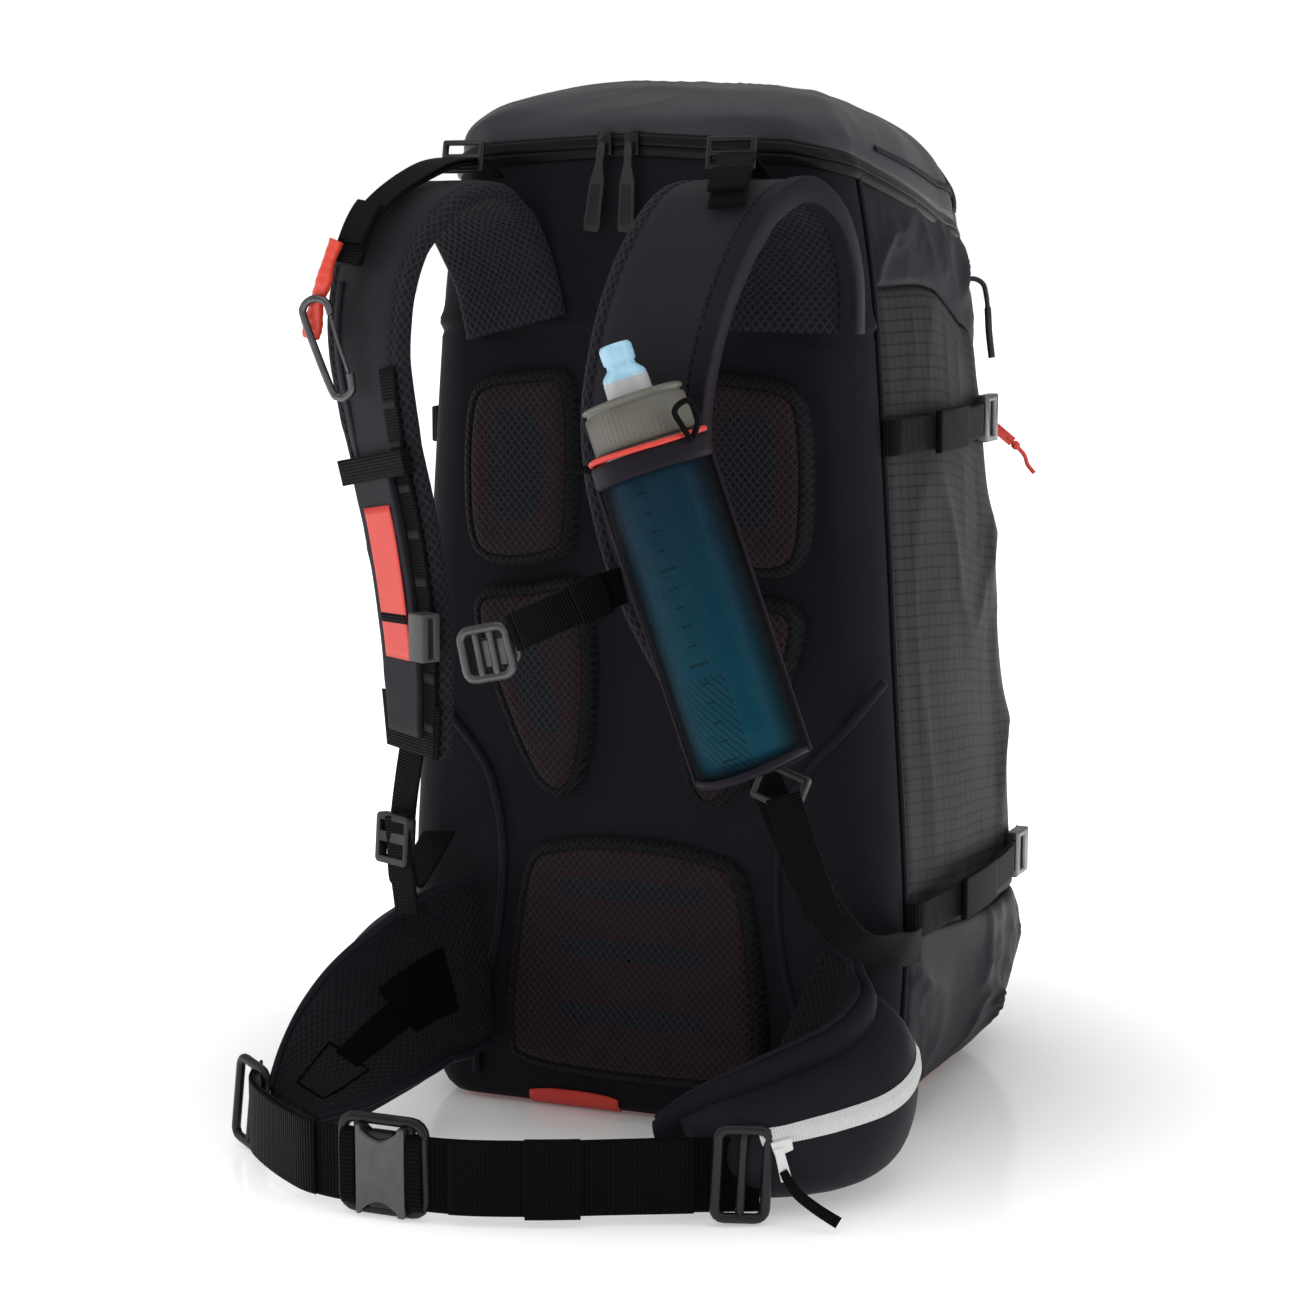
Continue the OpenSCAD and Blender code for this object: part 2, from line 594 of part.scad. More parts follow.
module belt_socket() {
  color("#5b5c60") at_buckle() difference() {
    linear_extrude(13, center = true) offset(r = 5) offset(delta = -5)
      polygon([[-18, -24], [28, -24], [28, 24], [-18, 24]]);
    translate([-4, 0, 0]) cube([32, 43, 7.4], center = true);
    translate([2, 0, 0]) cube([14, 60, 7.4], center = true);
    translate([22, 0, 0]) cube([5, belt_w + 2, 20], center = true);
  }
}
module belt_tongue() {
  color("#1b1b1d") at_buckle() {
    difference() {
      translate([-24.6, 0, 0]) cube([11, 47, 7], center = true);
      translate([-26, 0, 0]) cube([5, belt_w + 2, 20], center = true);
    }
    translate([-9, 0, 0]) cube([20.4, 8, 6], center = true);
  }
}
// The two spring prongs that are squeezed together, seen in the notches of the socket
module belt_button(m) {
  color("#1b1b1d") at_buckle() translate([-1, m * 18.5, 0]) {
    translate([-9, 0, 0]) cube([18, 5, 6], center = true);
    translate([3, m * 2.2, 0]) cube([12, 8, 6], center = true);
  }
}
module belt_button_upper() belt_button(1);
module belt_button_lower() belt_button(-1);
module belt_sliders() {
  color("#1b1b1d") {
    translate([-172.5, -252, belt_z + 3]) rotate([90, 0, -66]) tri_glide(24, belt_w + 9, 4, 4);
    translate([116, -264, belt_z]) rotate([90, 0, 27]) tri_glide(24, belt_w + 9, 4, 4);
  }
}

// Compression straps across the ripstop panels, each with a hook buckle
compression_z = [392, 124];
module compression_side(z) {
  w = lookup(z, side_profile);
  f = lookup(z, front_profile) - front_round;
  translate([w + 1.2, 0, z]) {
    translate([0, back_y + edge_r + 6, -web_w / 2]) cube([web_t, f - back_y - edge_r - 4, web_w]);
    translate([web_t + gap, back_y + edge_r + 40, -web_w / 2 - 2]) cube([4, 50, web_w + 4]);
  }
}
module compression_webbing() {
  color("#141316") for (m = [0, 1], z = compression_z) mirror([m, 0, 0]) compression_side(z);
}
module compression_buckles() {
  color("#77797d") for (m = [0, 1], z = compression_z) mirror([m, 0, 0])
    translate([lookup(z, side_profile) + 6.4, lookup(z, front_profile) - front_round + 16, z])
      difference() {
        cube([7, 24, web_w + 8], center = true);
        cube([9, 8, web_w], center = true);
      }
}

back_panel();
side_panel_left();
side_panel_right();
lower_shell();
upper_shell();
front_panel();
lid();
base_panel();
front_pocket();
main_zip();
zip_slider_left();
zip_slider_right();
zip_pull_left();
zip_pull_right();
pocket_zip_pull();
red_pull();
frame_sheet();
frame_stays();
airbag();
gas_cylinder();
release_head();
upper_pad_left();
upper_pad_right();
lower_pad_left();
lower_pad_right();
lumbar_pad();
strap_left();
strap_right();
lifter_webbings();
lifter_rings();
trigger_sleeve();
trigger_handle();
daisy_chain();
carabiner();
carabiner_gate();
sternum_slider();
sternum_webbing();
sternum_frame();
sternum_hook();
lower_webbings();
ladder_lock_left();
ladder_lock_right();
bottle_pocket();
flask();
flask_cap();
bite_valve();
pocket_bungee();
wing_left();
wing_right();
wing_pocket_left();
wing_pocket_right();
wing_zip_pull();
belt_webbing();
belt_socket();
belt_tongue();
belt_button_upper();
belt_button_lower();
belt_sliders();
compression_webbing();
compression_buckles();
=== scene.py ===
import json
import math

import bmesh
import bpy
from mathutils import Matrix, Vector, noise

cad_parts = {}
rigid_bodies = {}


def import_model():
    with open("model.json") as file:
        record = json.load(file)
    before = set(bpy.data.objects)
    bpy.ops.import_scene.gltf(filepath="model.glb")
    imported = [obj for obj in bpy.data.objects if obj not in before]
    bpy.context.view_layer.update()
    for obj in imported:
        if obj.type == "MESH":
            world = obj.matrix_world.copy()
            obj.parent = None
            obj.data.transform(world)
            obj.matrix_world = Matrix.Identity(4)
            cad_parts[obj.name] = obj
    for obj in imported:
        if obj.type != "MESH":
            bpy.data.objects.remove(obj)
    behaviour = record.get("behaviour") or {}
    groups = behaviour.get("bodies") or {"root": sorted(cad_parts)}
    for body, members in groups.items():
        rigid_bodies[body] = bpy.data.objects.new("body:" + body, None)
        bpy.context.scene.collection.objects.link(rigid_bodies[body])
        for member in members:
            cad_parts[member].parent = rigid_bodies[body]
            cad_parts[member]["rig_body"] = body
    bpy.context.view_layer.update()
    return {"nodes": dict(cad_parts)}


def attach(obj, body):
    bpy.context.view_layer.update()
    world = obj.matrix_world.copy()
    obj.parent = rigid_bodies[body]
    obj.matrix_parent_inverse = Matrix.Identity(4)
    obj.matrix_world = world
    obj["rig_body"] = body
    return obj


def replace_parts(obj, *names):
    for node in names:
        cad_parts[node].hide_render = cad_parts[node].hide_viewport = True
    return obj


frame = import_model()


# Studio: a long-lens camera a little above the lid, a pale floor that runs back into a
# white surround, one large soft light overhead, one from each side and a weak front fill.
scene = bpy.context.scene
camera = bpy.data.objects.new("camera", bpy.data.cameras.new("camera"))
camera.location = (0.6693, -1.6714, 0.520)
camera.rotation_euler = (math.radians(81.65), 0, math.radians(23))
camera.data.lens = 84.74
camera.data.sensor_width = 36
camera.data.clip_end = 60
scene.collection.objects.link(camera)
scene.camera = camera
scene.view_settings.view_transform = "Standard"


def softbox(name, place, aim, size, watts):
    light = bpy.data.lights.new(name, "AREA")
    light.shape = "RECTANGLE"
    light.size, light.size_y = size
    light.energy = watts
    lamp = bpy.data.objects.new(name, light)
    lamp.location = place
    lamp.rotation_euler = (Vector(aim) - Vector(place)).to_track_quat("-Z", "Y").to_euler()
    scene.collection.objects.link(lamp)


softbox("overhead", (0.1, -0.2, 2.3), (0, 0, 0.3), (2.4, 2.4), 17)
softbox("right_side", (2.0, -0.2, 1.2), (0, 0, 0.3), (1.2, 1.8), 9)
softbox("left_side", (-1.9, -1.0, 1.1), (0, -0.1, 0.35), (0.9, 1.8), 8)
softbox("front_fill", (0.5, -2.6, 1.3), (0, 0, 0.25), (1.8, 1.4), 6)

surround = bpy.data.worlds.new("surround")
surround.use_nodes = True
room = surround.node_tree.nodes["Background"]
room.inputs["Color"].default_value = (1, 1, 1, 1)
seen = surround.node_tree.nodes.new("ShaderNodeLightPath")
level = surround.node_tree.nodes.new("ShaderNodeMapRange")
level.inputs["To Min"].default_value, level.inputs["To Max"].default_value = 0.42, 1.0
surround.node_tree.links.new(seen.outputs["Is Camera Ray"], level.inputs["Value"])
surround.node_tree.links.new(level.outputs["Result"], room.inputs["Strength"])
scene.world = surround


class Value:
    """A socket of a finish, which takes part in ordinary arithmetic."""

    def __init__(self, finish, socket):
        self.finish, self.socket = finish, socket

    def __add__(self, other):
        return self.finish.maths("ADD", self, other)

    def __sub__(self, other):
        return self.finish.maths("SUBTRACT", self, other)

    def __rsub__(self, other):
        return self.finish.maths("SUBTRACT", other, self)

    def __mul__(self, other):
        return self.finish.maths("MULTIPLY", self, other)

    def __truediv__(self, other):
        return self.finish.maths("DIVIDE", self, other)

    def __pow__(self, other):
        return self.finish.maths("POWER", self, other)

    def __gt__(self, other):
        return self.finish.maths("GREATER_THAN", self, other)

    def __lt__(self, other):
        return self.finish.maths("LESS_THAN", self, other)

    __radd__, __rmul__ = __add__, __mul__


class Finish:
    """A material: node() adds any node, and paint() joins what varies to the shader."""

    def __init__(self, name, colour, roughness=0.6, **fixed):
        self.material = bpy.data.materials.new(name)
        self.material.use_nodes = True
        self.tree = self.material.node_tree
        self.shader = self.tree.nodes["Principled BSDF"]
        self.shader.inputs["Base Color"].default_value = (*colour, 1)
        self.shader.inputs["Roughness"].default_value = roughness
        for socket, value in fixed.items():
            self.shader.inputs[socket.replace("_", " ")].default_value = value

    def node(self, kind, settings, sockets, out=0):
        made = self.tree.nodes.new("ShaderNode" + kind)
        for setting, value in settings.items():
            if setting == "stops":
                for at, grey in value[2:]:
                    made.color_ramp.elements.new(at)
                for element, (at, grey) in zip(made.color_ramp.elements, value):
                    element.position, element.color = at, (grey, grey, grey, 1)
            else:
                setattr(made, setting, value)
        for socket, value in sockets.items():
            if isinstance(value, Value):
                self.tree.links.new(value.socket, made.inputs[socket])
            else:
                made.inputs[socket].default_value = value
        return Value(self, made.outputs[out])

    def maths(self, operation, *values, clamp=False):
        settings = {"operation": operation, "use_clamp": clamp}
        return self.node("Math", settings, dict(enumerate(values)))

    def mix(self, factor, a, b):
        """Colours a and b mixed by factor."""
        a, b = [c if isinstance(c, Value) else (*c, 1) for c in (a, b)]
        return self.node("Mix", {"data_type": "RGBA"}, {0: factor, 6: a, 7: b}, 2)

    def place(self):
        """Where a point lies on the object, in metres."""
        return self.node("TexCoord", {}, {}, 3)

    def lay(self):
        """Where a point lies on its cloth: across and along, in centimetres."""
        split = self.tree.nodes.new("ShaderNodeSeparateXYZ")
        self.tree.links.new(self.node("UVMap", {"uv_map": "lay"}, {}).socket, split.inputs[0])
        return Value(self, split.outputs[0]), Value(self, split.outputs[1])

    def xyz(self):
        split = self.tree.nodes.new("ShaderNodeSeparateXYZ")
        self.tree.links.new(self.place().socket, split.inputs[0])
        return [Value(self, s) for s in split.outputs]

    def mottle(self, scale, detail=3, rough=0.55):
        """Soft random blotches, scale of them to the metre."""
        return self.node("TexNoise", {}, {"Vector": self.place(), "Scale": scale,
                                          "Detail": detail, "Roughness": rough})

    def wave(self, value, per_unit):
        """0 to 1 and back, per_unit times in each unit of value."""
        return self.maths("SINE", value * (per_unit * math.tau)) * 0.5 + 0.5

    def between(self, value, low, high):
        """1 where value lies between low and high."""
        return (value > low) * (value < high)

    def paint(self, colour=None, roughness=None, height=None, depth=0.0005, strength=1.0,
              alpha=None, metallic=None):
        for socket, value in (("Base Color", colour), ("Roughness", roughness),
                              ("Alpha", alpha), ("Metallic", metallic)):
            if value is not None:
                self.tree.links.new(value.socket, self.shader.inputs[socket])
        if height is not None:
            bump = self.node("Bump", {}, {"Height": height, "Distance": depth,
                                          "Strength": strength})
            self.tree.links.new(bump.socket, self.shader.inputs["Normal"])
        return self.material


# The floor glows by emission, which is painted light: white away from the bag and dim grey next to it, which
# is painted shade round the bag.
floor_finish = Finish("floor_gloss", (0.9, 0.9, 0.9), 0.14, Specular_IOR_Level=0.4, Emission_Strength=1.0)
floor_x, floor_y, floor_z = floor_finish.xyz()
away = floor_finish.maths("SQRT", floor_x * floor_x + floor_y * floor_y)
painted_floor_glow = floor_finish.maths("MULTIPLY", away - 0.14, 2.5, clamp=True)
floor_finish.paint(roughness=floor_finish.mottle(3) * 0.05 + 0.10)
floor_finish.tree.links.new(floor_finish.mix(painted_floor_glow, (0.06, 0.06, 0.06), (1, 1, 1)).socket,
                            floor_finish.shader.inputs["Emission Color"])
floor_mesh = bpy.data.meshes.new("floor")
floor_mesh.from_pydata([(-14, -14, -0.0006), (14, -14, -0.0006), (14, 14, -0.0006),
                        (-14, 14, -0.0006)], [], [(0, 1, 2, 3)])
floor_mesh.materials.append(floor_finish.material)
floor = bpy.data.objects.new("floor", floor_mesh)
scene.collection.objects.link(floor)


# Bag body: a lofted fabric shell. Smooth charcoal softshell against the wearer, grey
# ripstop on the flanks and black nylon round the front, all joined by folded seams.
def along(table, x):
    """The table's value at x, on a smooth curve through its entries."""
    if x <= table[0][0]:
        return table[0][1]
    if x >= table[-1][0]:
        return table[-1][1]
    i = max(k for k in range(len(table) - 1) if table[k][0] <= x)
    (x0, y0), (x1, y1) = table[i], table[i + 1]
    before = table[i - 1] if i else (2 * x0 - x1, 2 * y0 - y1)
    after = table[i + 2] if i + 2 < len(table) else (2 * x1 - x0, 2 * y1 - y0)
    m0 = (y1 - before[1]) / (x1 - before[0]) * (x1 - x0)
    m1 = (after[1] - y0) / (after[0] - x0) * (x1 - x0)
    t = (x - x0) / (x1 - x0)
    return ((2 * t**3 - 3 * t**2 + 1) * y0 + (t**3 - 2 * t**2 + t) * m0
            + (3 * t**2 - 2 * t**3) * y1 + (t**3 - t**2) * m1)


def straight(table, x):
    """The table's value at x, on straight lines between its entries."""
    x = min(max(x, table[0][0]), table[-1][0])
    i = max(k for k in range(len(table) - 1) if table[k][0] <= x)
    (x0, y0), (x1, y1) = table[i], table[i + 1]
    return y0 + (y1 - y0) * (x - x0) / (x1 - x0)


bag_half = [(z, k * 150) for z, k in ((0, .86), (30, .96), (80, 1), (140, 1), (250, .955),
            (400, .893), (480, .847), (540, .78), (600, .7))]
bag_front = [(0, 146), (30, 174), (80, 186), (140, 174), (250, 162), (330, 154), (400, 150),
             (460, 142), (520, 124), (560, 100)]
back_y = -112
edge_r = 26
front_round = 78
half_by_mm = [along(bag_half, z) for z in range(620)]
front_by_mm = [along(bag_front, z) for z in range(620)]


def bag_point(s, z, out=0.0):
    """Point round the bag in mm: s is 0 at the middle of the back, 1 and 2 at the ends of
    the rounded edge, 3 where the front curve starts and 4 at the middle of the front."""
    q = 8 - abs(s) if abs(s) > 4 else abs(s)
    m = (-1 if s < 0 else 1) * (-1 if abs(s) > 4 else 1)
    k = int(min(max(z, 0), 618))
    t = min(max(z, 0), 618) - k
    w = half_by_mm[k] * (1 - t) + half_by_mm[k + 1] * t
    f = front_by_mm[k] * (1 - t) + front_by_mm[k + 1] * t
    y2, y3 = back_y + edge_r, f - front_round
    if q < 1:
        return (m * (w - edge_r) * q, back_y - out, z)
    if q < 2:
        a = math.radians(90 * (q - 1))
        return (m * (w - edge_r + (edge_r + out) * math.sin(a)),
                y2 - (edge_r + out) * math.cos(a), z)
    if q < 3:
        belly = 5 * math.sin(math.pi * (q - 2)) * min(1, z / 90)
        return (m * (w + out + belly), y2 + (y3 - y2) * (q - 2), z)
    a = math.radians(90 * (q - 3))
    return (m * (w + out) * max(0, math.cos(a)) ** (2 / 2.8),
            y3 + (front_round + out) * max(0, math.sin(a)) ** (2 / 2.8), z)


zip_line = [(0, 556), (1, 551), (2, 543), (3, 512), (3.4, 500), (4, 492)]
ripstop_top = [(2, 473), (2.6, 470), (3, 448), (3.4, 428), (4, 424)]
ripstop_foot = [(2, 117), (2.5, 104), (3, 98), (4, 96)]


def place_on(s):
    """Station s as it is counted from the middle of the back, 0 to 4."""
    return 8 - abs(s) if abs(s) > 4 else abs(s)


def on_front(s):
    """0 on the flanks and 1 across the front, where the shell and the lid swell."""
    return max(0, min(1, (place_on(s) - 3.25) / 0.2))


def creases(p, size, depth, stretch=(1, 1, 1)):
    """Depth of the soft folds of cloth at p: thin ridges with slack between them."""
    v = Vector([c * k / size for c, k in zip(p, stretch)])
    ridge = max(0, 1 - abs(noise.noise(v)) * 1.9) ** 2.6
    small = max(0, 1 - abs(noise.noise(v * 2.3 + Vector((1.7, 9.2, 4.4)))) * 2) ** 3
    soft = noise.noise(v * 0.45 + Vector((7.1, 3.3, 5.7)))
    return depth * (ridge * (0.55 + soft) + small * (0.12 + 0.25 * soft) + 0.8 * soft - 0.25)


def mesh_piece(name, points, faces, finishes, body="bag", lay=None, picks=None, smooth=True):
    """A piece of points in mm. lay gives each point's place on its cloth, in mm, and picks
    says which of the finishes each face takes."""
    mesh = bpy.data.meshes.new(name)
    mesh.from_pydata([[c / 1000 for c in p] for p in points], [], faces)
    for finish in finishes:
        mesh.materials.append(finish.material)
    if lay:
        layer = mesh.uv_layers.new(name="lay")
        for loop in mesh.loops:
            u, v = lay[loop.vertex_index]
            layer.data[loop.index].uv = (u / 10, v / 10)
    for i, face in enumerate(mesh.polygons):
        face.use_smooth = smooth
        if picks:
            face.material_index = picks[i]
    mesh.update()
    made = bpy.data.objects.new(name, mesh)
    scene.collection.objects.link(made)
    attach(made, body)
    return made


def cloth(name, rows, finishes, body="bag", wrap=False, thick=0.0, ends=False, pick=None,
          lay=None):
    """A sheet through rows of points. wrap joins each row's ends, ends closes the first and
    last row, thick gives it a back, and pick(row, column) chooses the finish."""
    n, k = len(rows), len(rows[0])
    points = [p for row in rows for p in row]
    faces, picks = [], []
    for i in range(n - 1):
        for j in range(k if wrap else k - 1):
            a, b = i * k + j, i * k + (j + 1) % k
            faces.append((a, b, b + k, a + k))
            picks.append(pick(i, j) if pick else 0)
    if ends:
        faces += [tuple(range(k - 1, -1, -1)), tuple(range((n - 1) * k, n * k))]
        picks += [0, 0]
    if not lay:
        middle = rows[n // 2]
        across = [0.0]
        for a, b in zip(middle, middle[1:]):
            across.append(across[-1] + math.dist(a, b))
        down, lay = 0.0, []
        for i, row in enumerate(rows):
            down += math.dist(row[k // 2], rows[i - 1][k // 2]) if i else 0
            lay += [(u - across[-1] / 2, down) for u in across]
    made = mesh_piece(name, points, faces, finishes, body, lay, picks)
    if thick:
        shell = made.modifiers.new("thickness", "SOLIDIFY")
        shell.thickness = thick / 1000
        shell.offset = -1
    return made


def steps(a, b, n):
    return [a + (b - a) * i / n for i in range(n + 1)]


def panel(name, finish, s0, s1, low, high, columns, rows, puff=1.5, fold=1.6, size=42,
          stretch=(1, 1, 1), turn=2.2, thick=2.4, extra=None):
    """A panel of the bag between stations s0 and s1 and heights low(s) and high(s). Its
    edges are turned in to the seam; puff swells it and fold creases it."""
    grid = []
    ends = [(low(s), high(s)) for s in steps(s0, s1, columns)]
    for t in steps(0, 1, rows):
        flat = [bag_point(s, a + (b - a) * t) for s, (a, b) in zip(steps(s0, s1, columns), ends)]
        row = []
        for s, here, (a, b) in zip(steps(s0, s1, columns), flat, ends):
            z = here[2]
            edge = max(0, min(math.dist(flat[0], here), math.dist(flat[-1], here), z - a, b - z))
            u = (s - s0) / (s1 - s0)
            out = puff * max(0, math.sin(math.pi * t) * math.sin(math.pi * u)) ** 0.5
            out += creases(here, size, fold, stretch) * min(1, edge / 26) ** 0.6
            out += (extra(s, z) if extra else 0) - turn * max(0, 1 - edge / 5) ** 2
            row.append(bag_point(s, z, out))
        grid.append(row)
    made = cloth(name, grid, [finish], thick=thick)
    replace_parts(made, name)
    return made


def woven(name, colour, light, roughness=0.62, sheen=0.15, pitch=14, **fixed):
    """Plain-woven nylon: fine crossing threads, paler where they cross, and faint blotches."""
    finish = Finish(name, colour, roughness, Sheen_Weight=sheen, Sheen_Roughness=0.45,
                    Specular_IOR_Level=0.06, **fixed)
    u, v = finish.lay()
    weave = finish.wave(u, pitch) * finish.wave(v, pitch)
    blotch = finish.mottle(9, 4)
    grain = finish.mottle(260, 2)
    finish.paint(finish.mix(blotch * 0.75 + weave * 0.25 - 0.15, colour, light),
                 blotch * 0.25 + (roughness - 0.12), weave * 0.5 + grain * 0.7, 0.00035, 0.5)
    return finish


softshell = woven("charcoal_softshell", (0.0075, 0.0064, 0.0092), (0.0145, 0.0125, 0.0175), 0.6, 0.02, 9)
nylon = woven("black_nylon", (0.0085, 0.0068, 0.0105), (0.020, 0.0165, 0.025), 0.46, 0.02, 13)
# The lid's nylon is a paler copy of the black nylon: painted light where the lid is lit from above.
lid_nylon_painted_light = woven("lid_nylon_painted_light", (0.018, 0.0152, 0.0200), (0.040, 0.034, 0.0445), 0.42, 0.04, 13)
lid_nylon_painted_light.shader.inputs["Specular IOR Level"].default_value = 0.3

ripstop = Finish("grey_ripstop", (0.04, 0.04, 0.04), 0.55, Sheen_Weight=0.03,
                 Specular_IOR_Level=0.06)
across, up = ripstop.lay()
threads = ripstop.maths("MAXIMUM", ripstop.wave(across, 1.0) > 0.955, ripstop.wave(up, 1.5) > 0.90)
speckle = ripstop.mottle(420, 2)
tone = ripstop.mottle(14, 4)
ground = ripstop.mix(tone * 0.8 + speckle * 0.4 - 0.2, (0.0125, 0.0125, 0.013), (0.027, 0.027, 0.0275))
ripstop.paint(ripstop.mix(threads * 0.82, ground, (0.0026, 0.0026, 0.003)),
              tone * 0.2 + 0.42, threads * 0.8 + speckle * 0.4, 0.0004, 0.6)
yoke_z = 448


def yoke_fold(s, z):
    """The yoke's lower edge lies over the panel below it, in one sewn line."""
    return 2.2 * math.exp(-((z - yoke_z - 4) / 5) ** 2) - 2.6 * math.exp(-((z - yoke_z) / 1.8) ** 2)


panel("back_panel", softshell, -2, 2, lambda s: 2.5, lambda s: straight(zip_line, abs(s)) - 1, 96, 150,
      puff=0.6, fold=1.7, size=70, stretch=(1, 1, 0.5), extra=yoke_fold)
for side, name in ((1, "side_panel_right"), (-1, "side_panel_left")):
    panel(name, ripstop, side * 2.01, side * 3.4, lambda s: straight(ripstop_foot, abs(s)),
          lambda s: along(ripstop_top, abs(s)), 56, 96, puff=3.5, fold=4.6, size=62,
          stretch=(1, 0.8, 0.4))
panel("lower_shell", nylon, 2.01, 5.99, lambda s: 2.5, lambda s: straight(ripstop_foot, place_on(s)),
      170, 40, puff=4, fold=6.5, size=34, stretch=(1, 0.8, 0.6))
panel("upper_shell", nylon, 2.01, 5.99, lambda s: along(ripstop_top, place_on(s)),
      lambda s: straight(zip_line, place_on(s)) - 1, 170, 36, puff=3, fold=5.5, size=38,
      stretch=(1, 0.8, 0.6), extra=lambda s, z: 9 * on_front(s))
panel("front_panel", nylon, 3.4, 4.6, lambda s: straight(ripstop_foot, place_on(s)),
      lambda s: along(ripstop_top, place_on(s)), 44, 80, puff=2, fold=2.4, size=50)


# Base: the tough red bottom of the bag, sewn inside the lower edge of the shell, with one
# tab of it turned up below the lumbar pad.
red_coated = Finish("red_coated_fabric", (0.62, 0.035, 0.02), 0.5)
red_grain = red_coated.mottle(300, 2)
red_coated.paint(red_coated.mix(red_coated.mottle(30), (0.5, 0.026, 0.016), (0.72, 0.05, 0.03)),
                 height=red_grain, depth=0.0003)
base_rows = []
for z, inset in ((7.5, 9), (4.2, 8), (1.7, 11), (1.2, 40), (1.2, 84)):
    base_rows.append([(x * (1 - inset / 130), y * (1 - inset / 150) + 2, z)
                      for x, y, _ in (bag_point(s, 8) for s in steps(-4, 4, 96)[:-1])])
base = cloth("base_panel", base_rows, [red_coated], wrap=True, thick=1)
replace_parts(base, "base_panel")
tab_rows = []
for t in steps(0, 1, 6):
    y = back_y - 1.5 - 2.5 * math.sin(math.pi * t) + 5 * (1 - t)
    tab_rows.append([(x, y, 0.8 + 11 * t - 3 * abs((x + 40) / 30) ** 3 * t) for x in steps(-68, -12, 16)])
cloth("base_tab", tab_rows, [red_coated], thick=1.2)


# Lid: a domed nylon cover with a slack, creased top, sewn to the zip all round, with a
# taped seam round its foot.
def lid_point(s, q, out):
    z0 = straight(zip_line, place_on(s)) + 0.4
    x, y, _ = bag_point(s, z0)
    f = max(0.004, math.cos(math.radians(90 * q)) ** 0.85)
    g = math.sin(math.radians(90 * q)) ** 0.85
    nose = Vector((x, y, 0)).normalized()
    p = Vector((x * f, y * f, z0 + (587 - z0) * g))
    fade = min(1, (1 - q) * 3) * min(1, q * 6)
    rise = creases(p, 62, 6.0, (0.75, 1.0, 1.3)) * min(1, q * 5) + out
    front = 12 * on_front(s) * (1 - q) ** 2
    lift = Vector((0, 0, max(-7, min(rise, 2.5)) * g))
    return tuple(p + nose * (rise * fade * (1 - g * 0.8) + front) + lift)


lid = cloth("lid", [[lid_point(s, q, 0.4) for s in steps(-4, 4, 200)[:-1]]
                    for q in steps(0, 1, 44)], [lid_nylon_painted_light], wrap=True, thick=2.4)
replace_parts(lid, "lid")
ridge_rows = [[lid_point(s, q, 1.2) for q in steps(0.10, 0.13, 3)] for s in steps(2.2, 5.8, 120)]
cloth("lid_seam", ridge_rows, [nylon], thick=0.8)


# Main zip: a coated water-resistant zip round the lid and down both front corners. Its two
# glossy tapes meet in a narrow slit over the coil and are sewn down along their outer edges.
# A raised seam runs from it up each front corner of the lid.
zip_coat = Finish("coated_zip_tape", (0.009, 0.009, 0.0075), 0.4, Specular_IOR_Level=0.12)
zip_across, zip_along = zip_coat.lay()
zip_coat.paint(zip_coat.mix(zip_coat.mottle(60), (0.0032, 0.0031, 0.0026), (0.0085, 0.0082, 0.0066)),
               zip_coat.mottle(40) * 0.25 + 0.22, zip_coat.wave(zip_along, 7) * 0.3, 0.0003, 0.5)
zip_section = ((-0.6, -1), (0, 0.8), (0.8, 1.2), (3.0, 1.5), (4.9, 2.0), (5.3, 1.5), (5.5, 0.6), (5.7, 1.5),
               (6.1, 2.0), (8.0, 1.7), (10.6, 1.4), (11.6, 0.9), (12.2, -1))


def zip_strip(name, line):
    """A zip tape through line, a list of (point at distance d across and h out) functions."""
    return cloth(name, [[at(d, h + 0.6) for d, h in zip_section] for at in line], [zip_coat])


def round_lid(s):
    top = straight(zip_line, abs(s)) - 11.6
    return lambda d, h: bag_point(s, top + d, h)


def down_corner(side, z):
    def at(d, h):
        s = 3.4 + (d - 5.5) / 140
        return bag_point(side * s, z, h)
    return at


main_zip = zip_strip("main_zip", [round_lid(s) for s in steps(-3.44, 3.44, 260)])
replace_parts(main_zip, "main_zip")
for side, name in ((1, "corner_zip_right"), (-1, "corner_zip_left")):
    zip_strip(name, [down_corner(side, z) for z in steps(212, 490, 90)])
rim_section = [(k, 0.7 * (1 - (k / 3) ** 2)) for k in (-3, -2, 0, 2, 3)]
for side, name in ((1, "right"), (-1, "left")):
    rim = [lid_point(side * s, q, 2.0) for s, q in zip(steps(3.25, 3.6, 30), steps(0.04, 0.66, 30))]
    rows = [[tuple(Vector(p) + Vector((0, -k, h))) for k, h in rim_section] for p in rim]
    cloth("lid_rim_" + name, rows, [nylon], thick=1.2)


# Front pocket: a tool pocket that swells from the front.
def pocket_out(s, z):
    rise = (max(0, math.sin(math.pi * (z - 140) / 330)) ** 0.4
            * max(0, math.cos(math.pi * (s - 4) / 0.96)) ** 0.4)
    return 1.4 + 21 * rise


pocket_rows = []
for z in steps(140, 470, 84):
    row = []
    for s in steps(3.52, 4.48, 60):
        out = pocket_out(s, z)
        here = bag_point(s, z, out)
        row.append(bag_point(s, z, out + creases(here, 38, 3.2) * min(1, (out - 1.4) / 14)))
    pocket_rows.append(row)
front_pocket = cloth("front_pocket", pocket_rows, [nylon], thick=2)
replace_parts(front_pocket, "front_pocket")


